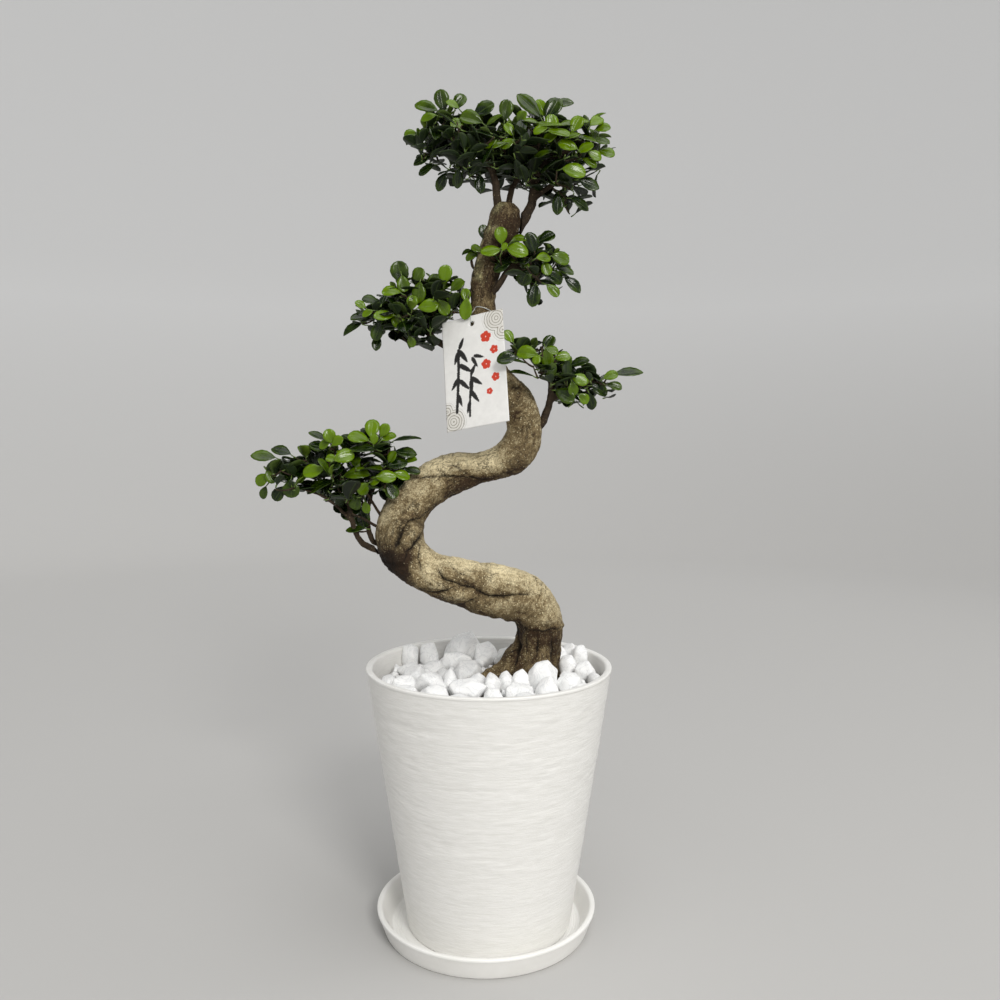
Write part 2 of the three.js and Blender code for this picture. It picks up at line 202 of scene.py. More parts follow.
def turnsOf(sides):
    return np.arange(sides) * 2 * math.pi / sides


def ringPoints(radii, heights, sides):
    # level rings of points round the upright axis
    radii, turn = np.asarray(radii, float)[:, None], turnsOf(sides)
    heights = np.repeat(np.asarray(heights, float)[:, None], sides, 1)
    return np.stack([radii * np.cos(turn), radii * np.sin(turn), heights], -1).reshape(-1, 3)


def ringFaces(rings, sides, closed=True):
    # faces between rings of points; a closed shape's two last points close its two ends
    i = np.arange(sides)
    j = (i + 1) % sides
    rows = np.arange(rings - 1)[:, None] * sides
    quads = np.stack([rows + i, rows + j, rows + sides + j, rows + sides + i], -1)
    faces = quads.reshape(-1, 4).tolist()
    if closed:
        start, end, top = rings * sides, rings * sides + 1, (rings - 1) * sides
        faces += [(start, b, a) for a, b in zip(i.tolist(), j.tolist())]
        faces += [(end, top + a, top + b) for a, b in zip(i.tolist(), j.tolist())]
    return faces


def tube(line, radii, sides, swell=1.0):
    # points and faces of a closed tube; swell is one number for each point round each ring
    line = np.asarray(line, float)
    radii = np.broadcast_to(np.asarray(radii, float), (len(line),))
    side, up = framesAlong(line)
    turn = turnsOf(sides)
    ring = np.cos(turn)[None, :, None] * side[:, None] + np.sin(turn)[None, :, None] * up[:, None]
    ring = ring * np.broadcast_to(swell, (len(line), sides))[..., None]
    points = (line[:, None] + ring * radii[:, None, None]).reshape(-1, 3)
    return np.vstack([points, line[0], line[-1]]), ringFaces(len(line), sides)


class Heap:
    # gathers many small shapes for one mesh
    def __init__(self):
        self.points, self.faces, self.values, self.slots = [], [], [], []
        self.count = 0

    def add(self, points, faces, value=(0, 0, 0), slots=0):
        # the value is one for the whole shape or one for each point; slots count the materials
        points = np.asarray(points, float)
        self.points.append(points)
        self.faces.extend(tuple(corner + self.count for corner in face) for face in faces)
        self.values.append(np.broadcast_to(np.asarray(value, float), (len(points), 3)))
        self.slots.extend(np.broadcast_to(slots, len(faces)).tolist())
        self.count += len(points)

    def build(self, name, materials, valueName=None):
        piece = addMesh(name, np.vstack(self.points), self.faces, materials)
        piece.data.polygons.foreach_set("material_index", self.slots)
        if valueName:
            setValues(piece, valueName, np.vstack(self.values))
        return piece


def roundedProfile(corners, step, fine=None, fineStep=1):
    # corners are [radius, height, rounding] in mm; the stretch after corner number fine gets fineStep
    corners = np.asarray(corners, float)
    line, steps = [corners[0, :2]], []
    for number, (before, corner, after) in enumerate(zip(corners, corners[1:], corners[2:])):
        here = corner[:2]
        back, on = before[:2] - here, after[:2] - here
        cut = min(corner[2], 0.48 * np.linalg.norm(back), 0.48 * np.linalg.norm(on))
        start = here + back / np.linalg.norm(back) * cut
        end = here + on / np.linalg.norm(on) * cut
        arc = bowed(start, here, end, 6 if cut > 0 else 1)
        line.extend(arc)
        steps += [fineStep if number == fine else step] + [step] * (len(arc) - 1)
    line.append(corners[-1, :2])
    steps.append(step)
    points = [line[0]]
    for a, b, length in zip(line, line[1:], steps):
        count = max(1, round(np.linalg.norm(b - a) / length))
        points.extend(a + (b - a) * (k + 1) / count for k in range(count))
    return np.array(points)


def turnedMesh(name, profile, sides, material, centre=0):
    # the profile starts and ends on the axis
    points = ringPoints(profile[1:-1, 0], profile[1:-1, 1], sides)
    points = np.vstack([points, (0, 0, profile[0, 1]), (0, 0, profile[-1, 1])]) + (centre, 0, 0)
    return addMesh(name, points * mm, ringFaces(len(profile) - 2, sides), [material])


def finished(piece, slotName, *replaced):
    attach(piece, "root")
    if replaced:
        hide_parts(*replaced)


# Small tools for materials


def colour(red, green, blue):
    # a colour as a screen shows it, 0 to 255, for a shader
    def linear(level):
        level /= 255
        return level / 12.92 if level <= 0.04045 else ((level + 0.055) / 1.055) ** 2.4
    return (linear(red), linear(green), linear(blue), 1)


def feed(socket, value):
    # a socket takes a link from another socket, or a plain value
    if isinstance(value, bpy.types.NodeSocket):
        socket.id_data.links.new(value, socket)
    else:
        socket.default_value = value


class Nodes:
    # a node tree with short ways to add to it
    def __init__(self, tree):
        self.tree = tree

    def add(self, kind, values, **settings):
        made = self.tree.nodes.new("ShaderNode" + kind)
        for key, value in settings.items():
            setattr(made, key, value)
        for key, value in values.items():
            feed(made.inputs[key], value)
        return made.outputs

    def math(self, operation, *values):
        return self.add("Math", dict(enumerate(values)), operation=operation)[0]

    def plus(self, first, second):
        return self.math("ADD", first, second)

    def minus(self, first, second):
        return self.math("SUBTRACT", first, second)

    def times(self, first, second):
        return self.math("MULTIPLY", first, second)

    def size(self, value):
        return self.math("ABSOLUTE", value)

    def span(self, value, low, high, first=0.0, last=1.0):
        # first where the value is low, last where it is high
        return self.add("MapRange", {
            "Value": value, "From Min": low, "From Max": high, "To Min": first, "To Max": last,
        })["Result"]

    def mix(self, share, first, second):
        # a colour between two colours
        return self.add("Mix", {0: share, 6: first, 7: second}, data_type="RGBA")[2]

    def between(self, value, low, high, first, second):
        return self.mix(self.span(value, low, high), colour(*first), colour(*second))

    def noise(self, place, scale, detail, roughness=0.5, distortion=0.0):
        return self.add("TexNoise", {
            "Vector": place, "Scale": scale, "Detail": detail, "Roughness": roughness,
            "Distortion": distortion,
        })["Fac"]

    def axes(self, vector):
        return self.add("SeparateXYZ", {"Vector": vector})


def newGroup(name, inputs, outputs):
    # the group's nodes, the sockets that it is given and the sockets of its result
    group = bpy.data.node_groups.new(name, "ShaderNodeTree")
    for label, value in inputs.items():
        kind = "NodeSocketVector" if value is None else "NodeSocketFloat"
        socket = group.interface.new_socket(label, in_out="INPUT", socket_type=kind)
        if value is not None:
            socket.default_value = value
    for label in outputs:
        group.interface.new_socket(label, in_out="OUTPUT", socket_type="NodeSocketFloat")
    given, result = group.nodes.new("NodeGroupInput"), group.nodes.new("NodeGroupOutput")
    return Nodes(group), given.outputs, result.inputs


def makeGrain():
    # soft clouds and fine grain in one height, for every surface that isn't smooth
    nodes, given, result = newGroup("grain", {
        "Place": None, "Cloud Size": 0.02, "Grain Size": 0.002, "Grain Share": 0.4,
    }, ("Height", "Cloud", "Grain"))
    cloud, grain = (
        nodes.noise(given["Place"], nodes.math("DIVIDE", 1.0, given[label]), 3.0, 0.55)
        for label in ("Cloud Size", "Grain Size")
    )
    feed(result["Height"], nodes.plus(cloud, nodes.times(grain, given["Grain Share"])))
    feed(result["Cloud"], cloud)
    feed(result["Grain"], grain)
    return nodes.tree


def makeSpeckle():
    # scattered small dots, 1 inside and 0 outside
    nodes, given, result = newGroup("speckle", {
        "Place": None, "Spacing": 0.003, "Dot": 0.3, "Share": 0.5,
    }, ("Mask",))
    scale = nodes.math("DIVIDE", 1.0, given["Spacing"])
    cells = nodes.add("TexVoronoi", {"Vector": given["Place"], "Scale": scale})
    soft = nodes.span(nodes.minus(given["Dot"], cells["Distance"]), 0.0, 0.12)
    pick = nodes.add("SeparateColor", {"Color": cells["Color"]})[0]
    feed(result["Mask"], nodes.times(soft, nodes.math("LESS_THAN", pick, given["Share"])))
    return nodes.tree


grainGroup = makeGrain()
speckleGroup = makeSpeckle()


class Finish(Nodes):
    # a material and the nodes of its look; its place is in metres
    def __init__(self, name, roughness=0.5, specular=0.5):
        self.material = bpy.data.materials.new(name)
        self.material.use_nodes = True
        super().__init__(self.material.node_tree)
        self.inputs = self.tree.nodes["Principled BSDF"].inputs
        self.inputs["Roughness"].default_value = roughness
        self.inputs["Specular IOR Level"].default_value = specular
        self.place = self.add("TexCoord", {})["Object"]

    def attribute(self, name, kind="Vector"):
        return self.add("Attribute", {}, attribute_name=name)[kind]

    def stretched(self, place, sizes):
        return self.add("Mapping", {"Vector": place, "Scale": sizes})["Vector"]

    def grain(self, cloudSize, grainSize, share=0.4, place=None):
        return self.add("Group", {
            "Place": self.place if place is None else place, "Cloud Size": cloudSize,
            "Grain Size": grainSize, "Grain Share": share,
        }, node_tree=grainGroup)

    def speckle(self, spacing, dot, share):
        return self.add("Group", {
            "Place": self.place, "Spacing": spacing, "Dot": dot, "Share": share,
        }, node_tree=speckleGroup)["Mask"]

    def tint(self, value):
        feed(self.inputs["Base Color"], value)

    def rough(self, value):
        feed(self.inputs["Roughness"], value)

    def bump(self, height, depth, strength=1.0):
        values = {"Height": height, "Distance": depth, "Strength": strength}
        feed(self.inputs["Normal"], self.add("Bump", values)["Normal"])


def grainyMaterial(name, roughness, sizes, low, first, second, depth=0):
    # grain between two like colours, with a bump where a depth is given
    look = Finish(name, roughness)
    height = look.grain(*sizes)["Height"]
    look.tint(look.between(height, low, 0.9, first, second))
    if depth:
        look.bump(height, depth)
    return look.material


# Studio: a plain pale floor that sweeps up all round, and soft light

studio = {
    "floor": colour(187, 186, 184),
    "paper": colour(152, 152, 151),
    "glow": 0.32,                  # of the paper behind
    "flat": 2600,                  # mm, radius of the flat floor
    "sweep": 1300,                 # mm, radius of the upward sweep
    "wall": 3600,                  # mm, height of the wall
    "sides": 96,
    "sky": 0.14,
    "aim": (0, 0, 420),            # mm
    "lamps": [                     # name, kind, place in mm and settings
        ("key", "AREA", (1220, -3280, 2350),
         {"shape": "DISK", "size": 1.2, "energy": 79, "color": (1, 0.985, 0.955)}),
        ("top", "SUN", (260, -300, 1900), {"angle": math.radians(60), "energy": 1.65}),
    ],
}


def addStudio():
    flat, sweep = studio["flat"], studio["sweep"]
    turn = np.linspace(0, math.pi / 2, 24)
    arc = np.stack([flat + sweep * np.sin(turn), sweep * (1 - np.cos(turn))], 1)
    profile = np.vstack([(0.5, 0), (600, 0), (1400, 0), arc, (flat + sweep, studio["wall"])])
    points = ringPoints(profile[:, 0], profile[:, 1], studio["sides"])
    faces = [range(studio["sides"])] + ringFaces(len(profile), studio["sides"], closed=False)
    look = Finish("studioPaper", 0.9)
    share = look.span(look.axes(look.place)["Z"], 0.0, 1.1)
    look.tint(look.mix(share, studio["floor"], studio["paper"]))
    feed(look.inputs["Emission Color"], look.mix(share, (0, 0, 0, 1), (1, 1, 1, 1)))
    look.inputs["Emission Strength"].default_value = studio["glow"]
    addMesh("studioFloor", points * mm, faces, [look.material])
    for name, kind, place, settings in studio["lamps"]:
        data = bpy.data.lights.new(name, kind)
        for key, value in settings.items():
            setattr(data, key, value)
        light = addObject(name, data)
        light.location = Vector(place) * mm
        away = Vector(studio["aim"]) * mm - light.location
        light.rotation_euler = away.to_track_quat("-Z", "Y").to_euler()
        light.visible_camera = False
    world = bpy.data.worlds.new("studioSky")
    world.use_nodes = True
    backdrop = world.node_tree.nodes["Background"]
    backdrop.inputs["Color"].default_value = (1, 1, 1, 1)
    backdrop.inputs["Strength"].default_value = studio["sky"]
    bpy.context.scene.world = world
    bpy.context.scene.view_settings.view_transform = "Standard"


addStudio()
print("studio lit")

# Pot: a turned vessel whose wall is brushed in long level strokes

pot = {
    "wall": 3.6,
    "footRing": 3.7,
    "plate": 4,
    "lipWidth": 6.8,
    "lipDepth": 3.4,
    "wallTop": 122.2,              # mm, outside radius under the lip
    "footRadius": 83,
    "footWidth": 7.2,
    "sides": 232,
    "step": 1.75,                  # mm between rings on the brushed wall
    "strokes": [                   # mm: long, high, depth, and whether the ridge is sharp
        (240, 26, 0.7, False),
        (70, 8, 0.42, False),
        (30, 4.2, 0.36, True),
        (12, 3.4, 0.3, True),
    ],
    "sway": [(0.021, 20, 1), (0.007, 21, 0.5)],     # size in metres, seed and height
    "worn": (0.04, 0.04, 0.015),                    # metres, size of the fainter areas
    "wear": ((20, 110, 200), (0.35, 0.8, 1.25)),    # mm up, and how deep the strokes are there
    "fade": 9,                     # mm, over which the strokes end below the lip and above the foot
}


def potMaterial():
    look = Finish("whitePlastic")
    grain = look.grain(0.016, 0.004, 0.6, look.stretched(look.place, (1, 1, 9)))
    look.tint(look.between(grain["Cloud"], 0.35, 0.65, (236, 235, 231), (243, 242, 239)))
    look.rough(look.span(grain["Grain"], 0.3, 0.7, 0.36, 0.5))
    look.bump(grain["Height"], 0.0006, 0.5)
    return look.material


def brushed(points, base, lipBase, slope):
    # the pot's points, moved in and out where the wall is brushed
    radius = np.hypot(points[:, 0], points[:, 1])
    height = points[:, 2] / mm
    wallAt = (pot["footRadius"] + slope * (height - base)) * mm
    low, high = base + 2, lipBase - 1.5
    onWall = (radius > wallAt - 0.8 * mm) & (height > low) & (height < high)
    fade = np.clip(np.minimum(height - low, high - height) / pot["fade"], 0, 1)
    relief = np.zeros(len(points))
    wall = points[onWall]
    sway = layered(wall, pot["sway"])
    worn = np.clip(0.65 + noiseAt(wall, pot["worn"], 22), 0.1, 1.2)
    worn *= np.interp(wall[:, 2] / mm, *pot["wear"])
    for k, (long, high, depth, sharp) in enumerate(pot["strokes"]):
        drift = sway[:, None] * (0, 0, min(high, 9) * 0.45) * mm
        stroke = noiseAt(wall + drift, (long * mm, long * mm, high * mm), k + 1)
        if sharp:
            stroke = 0.5 - 2 * np.abs(stroke)
        relief[onWall] += stroke * depth * worn
    points[:, :2] *= (1 + relief * fade * mm / np.maximum(radius, 1e-6))[:, None]
    return points


def addPot():
    low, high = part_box("pot")
    rim, top, base = high.x / mm, high.z / mm, low.z / mm
    lipBase = top - pot["lipDepth"]
    slope = (pot["wallTop"] - pot["footRadius"]) / (lipBase - base)
    inner = rim - pot["lipWidth"]
    inside = pot["footRadius"] - pot["wall"]
    footInside = pot["footRadius"] - pot["footWidth"]
    plateTop = base + pot["footRing"] + pot["plate"]
    profile = roundedProfile([
        (0, base + pot["footRing"], 0), (footInside, base + pot["footRing"], 1),
        (footInside, base, 0.8), (pot["footRadius"], base, 1.6),
        (pot["wallTop"], lipBase, 1.2), (rim, lipBase + 1, 1.2), (rim, top, 2.4), (inner, top, 3),
        (inner, top - 16, 6), (inside + slope * (plateTop - base), plateTop, 2), (0, plateTop, 0),
    ], 9, 3, pot["step"])
    vessel = turnedMesh("potVessel", profile, pot["sides"], potMaterial())
    movePoints(vessel, brushed(pointsOf(vessel), base, lipBase, slope))
    finished(vessel, "white_plastic", "pot")


addPot()
print("pot turned")

# Saucer

saucer = {
    "base": 103.4,
    "lip": 5,
    "floor": 3.7,
    "floorRadius": 95,
    "rings": [88, 90.5, 93],       # mm, raised rings on the floor
    "sides": 200,
}


def saucerMaterial():
    look = Finish("saucerPlastic")
    grain = look.grain(0.03, 0.0016, 0.5)
    look.tint(look.between(grain["Cloud"], 0.3, 0.7, (238, 237, 233), (244, 243, 240)))
    look.rough(look.span(grain["Cloud"], 0.3, 0.7, 0.3, 0.42))
    look.bump(grain["Height"], 0.00025, 0.4)
    return look.material


def addSaucer():
    low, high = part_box("saucer")
    rim, top = (high.x - low.x) / 2 / mm, high.z / mm
    centre = (high.x + low.x) / 2 / mm
    floor = saucer["floor"]
    rings = []
    for radius in reversed(saucer["rings"]):
        rings += [(radius + 0.5, floor, 0.2), (radius, floor + 0.35, 0.3), (radius - 0.5, floor, 0.2)]
    profile = roundedProfile([
        (0, 0.8, 0), (saucer["base"] - 4, 0.8, 0.5), (saucer["base"] - 4, 0, 0.4),
        (saucer["base"], 0, 1.6), (rim - 0.8, top - 3.4, 1.0), (rim, top - 2.6, 1.0), (rim, top, 1.6),
        (rim - saucer["lip"], top, 2.2), (saucer["floorRadius"] + 1, floor, 4), *rings, (0, floor, 0),
    ], 5)
    dish = turnedMesh("saucerDish", profile, saucer["sides"], saucerMaterial(), centre)
    finished(dish, "white_plastic", "saucer")


addSaucer()
print("saucer turned")

# Soil: dark crumbs, seen only between the stones

soil = {
    "rings": 60,
    "sides": 150,
    "crown": 3.5,                  # mm, how much higher the middle is
    # size in metres, seed, and in mm the height and how far the crown is lowered for them
    "lumps": [(0.007, 3, 1.4, 1.4), (0.0025, 4, 0.5, 0)],
    "deep": 20,                    # mm, how far the skin reaches down at its edge
    "crumbs": 900,
    "seed": 5,
}


def addSoil():
    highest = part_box("soil")[1].z
    rng = np.random.default_rng(soil["seed"])
    source = pointsOf(cadNodes["soil"])
    edge = np.hypot(source[:, 0], source[:, 1]).max() - 0.8 * mm
    bottom = highest - soil["deep"] * mm
    radii = np.linspace(edge, 0, soil["rings"] + 1)[:-1]
    crown = highest - soil["crown"] * mm * (radii / edge) ** 2
    disc = ringPoints(radii, crown, soil["sides"])
    for size, seed, height, lowered in soil["lumps"]:
        disc[:, 2] += (noiseAt(disc, size, seed) * height - lowered) * mm
    deep = ringPoints([edge * 0.985], [bottom], soil["sides"])
    heap = Heap()
    points = np.vstack([deep, disc, (0, 0, bottom), (0, 0, crown[-1])])
    heap.add(points, ringFaces(soil["rings"] + 1, soil["sides"]))
    box = np.array([(x, y, z) for x in (-1, 1) for y in (-1, 1) for z in (-1, 1)], float)
    boxFaces = [(0, 1, 3, 2), (4, 6, 7, 5), (0, 4, 5, 1), (2, 3, 7, 6), (0, 2, 6, 4), (1, 5, 7, 3)]
    for _ in range(soil["crumbs"]):
        reach, around = edge * 0.97 * math.sqrt(rng.random()), rng.random() * 2 * math.pi
        size = rng.uniform(0.6, 1.8, 3) * mm
        spin = np.array(Euler(rng.uniform(0, 3, 3)).to_matrix())
        middle = (reach * math.cos(around), reach * math.sin(around),
                  highest - soil["crown"] * mm * (reach / edge) ** 2 - 0.9 * mm)
        heap.add(box * size * rng.uniform(0.7, 1, (8, 1)) @ spin + middle, boxFaces)
    colours = (38, 29, 22), (92, 74, 56)
    material = grainyMaterial("pottingMix", 0.95, (0.006, 0.0012), 0.45, *colours, 0.0012)
    finished(heap.build("pottingSoil", [material]), "soil", "soil")


addSoil()
print("soil laid")

# Stones: white crushed marble, tumbled so that its corners are soft

stone = {
    "swell": 1.05,                 # size against the solid that a stone replaces
    "voxel": 1.2,
    "rounding": 8,
    "upright": 14,                 # more rounding for tall stones
    "dents": [(0.011, 0.5), (0.004, 0.16), (0.0018, 0.07)],    # size in metres, depth in mm
}
chip = {                           # small stones that fill the spaces
    "most": 150,
    "tries": 4000,
    "radius": (4.2, 8.5),          # mm
    "corners": 9,
    "fromRim": 7,                  # mm, from the wall of the pot
    "fromTrunk": 12,               # mm up, below which the trunk's foot keeps them off
    "neighbour": 0.72,             # share of a neighbour's radius that is kept free
    "room": 0.9,                   # share of its own radius that has to be free
    "raised": 0.55,                # share of its radius that its middle stands above the soil
    "voxel": 1.7,
    "rounding": 5,
    "seed": 11,
    "firstDents": 60,              # added to a chip's number for the seed of its dents
}


def marbleMaterial():
    look = Finish("marble")
    grain = look.grain(0.012, 0.0009, 0.35)
    veins = look.size(look.minus(look.noise(look.place, 70.0, 5.0, 0.6, 1.6), 0.5))
    clean = look.between(grain["Cloud"], 0.35, 0.7, (250, 250, 249), (241, 242, 242))
    look.tint(look.mix(look.span(veins, 0.0, 0.035, 0.5, 0.0), clean, colour(205, 206, 208)))
    look.rough(look.span(grain["Grain"], 0.3, 0.7, 0.5, 0.66))
    look.bump(grain["Height"], 0.0005, 0.7)
    return look.material


marble = marbleMaterial()


def roundedStone(name, corners, seed, voxel, rounding):
    # the convex skin of the corners, rounded; the rounding takes some of the size, so the stone
    # is brought back to its corners' box
    hull = bmesh.new()
    for corner in corners:
        hull.verts.new(corner)
    result = bmesh.ops.convex_hull(hull, input=hull.verts)
    spare = {part for part in result["geom_unused"] + result["geom_interior"]
             if isinstance(part, bmesh.types.BMVert)}
    bmesh.ops.delete(hull, geom=list(spare), context="VERTS")
    piece = addObject(name, bpy.data.meshes.new(name))
    hull.to_mesh(piece.data)
    hull.free()
    remeshed(piece, marble, voxel, rounding)
    points, normals = pointsOf(piece), normalsOf(piece)
    low, high = corners.min(0), corners.max(0)
    points = (points - points.min(0)) / np.ptp(points, axis=0) * (high - low) + low
    for k, (size, depth) in enumerate(stone["dents"]):
        points += normals * (noiseAt(points, size, seed + k) * depth * mm)[:, None]
    movePoints(piece, points)
    return piece


def addStones():
    # the stones of the frame; gives the spots and radii that they take on the soil
    taken = []
    for index, name in enumerate(sorted(name for name in cadNodes if name.startswith("stone_"))):
        source = pointsOf(cadNodes[name])
        middle = (source.min(0) + source.max(0)) / 2
        corners = middle + (np.unique(source.round(5), axis=0) - middle) * stone["swell"]
        width, depth, height = np.ptp(corners, axis=0)
        rounding = stone["rounding"] + (stone["upright"] if height > 1.1 * min(width, depth) else 0)
        piece = roundedStone(name.replace("stone", "marble"), corners, index, stone["voxel"], rounding)
        finished(piece, "marble", name)
        taken.append((middle[:2], np.ptp(source[:, :2], axis=0).mean() / 2))
    return taken


def addChips(taken):
    rng = np.random.default_rng(chip["seed"])
    rim, _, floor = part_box("soil")[1]
    foot = pointsOf(cadNodes["trunk"])
    foot = foot[foot[:, 2] < floor + chip["fromTrunk"] * mm, :2]
    made = 0
    for _ in range(chip["tries"]):
        reach, around = (rim - chip["fromRim"] * mm) * math.sqrt(rng.random()), rng.random() * 2 * math.pi
        spot = np.array((reach * math.cos(around), reach * math.sin(around)))
        size = rng.uniform(*chip["radius"]) * mm
        room = min(np.linalg.norm(spot - other) - radius * chip["neighbour"] for other, radius in taken)
        room = min(room, np.linalg.norm(foot - spot, axis=1).min())
        if room < size * chip["room"] or made == chip["most"]:
            continue
        ball = rng.normal(size=(chip["corners"], 3))
        ball /= np.linalg.norm(ball, axis=1)[:, None]
        middle = (*spot, floor + size * chip["raised"])
        corners = ball * size * rng.uniform(0.85, 1.15, 3) + middle
        made += 1
        name, seed = f"marbleChip_{made:03d}", made + chip["firstDents"]
        finished(roundedStone(name, corners, seed, chip["voxel"], chip["rounding"]), "marble")
        taken.append((spot, size))
    print("small stones:", made)


addChips(addStones())
print("stones laid")

# Trunk: one thick stem that bends like an S, with buttress roots, creases, knots and old cuts

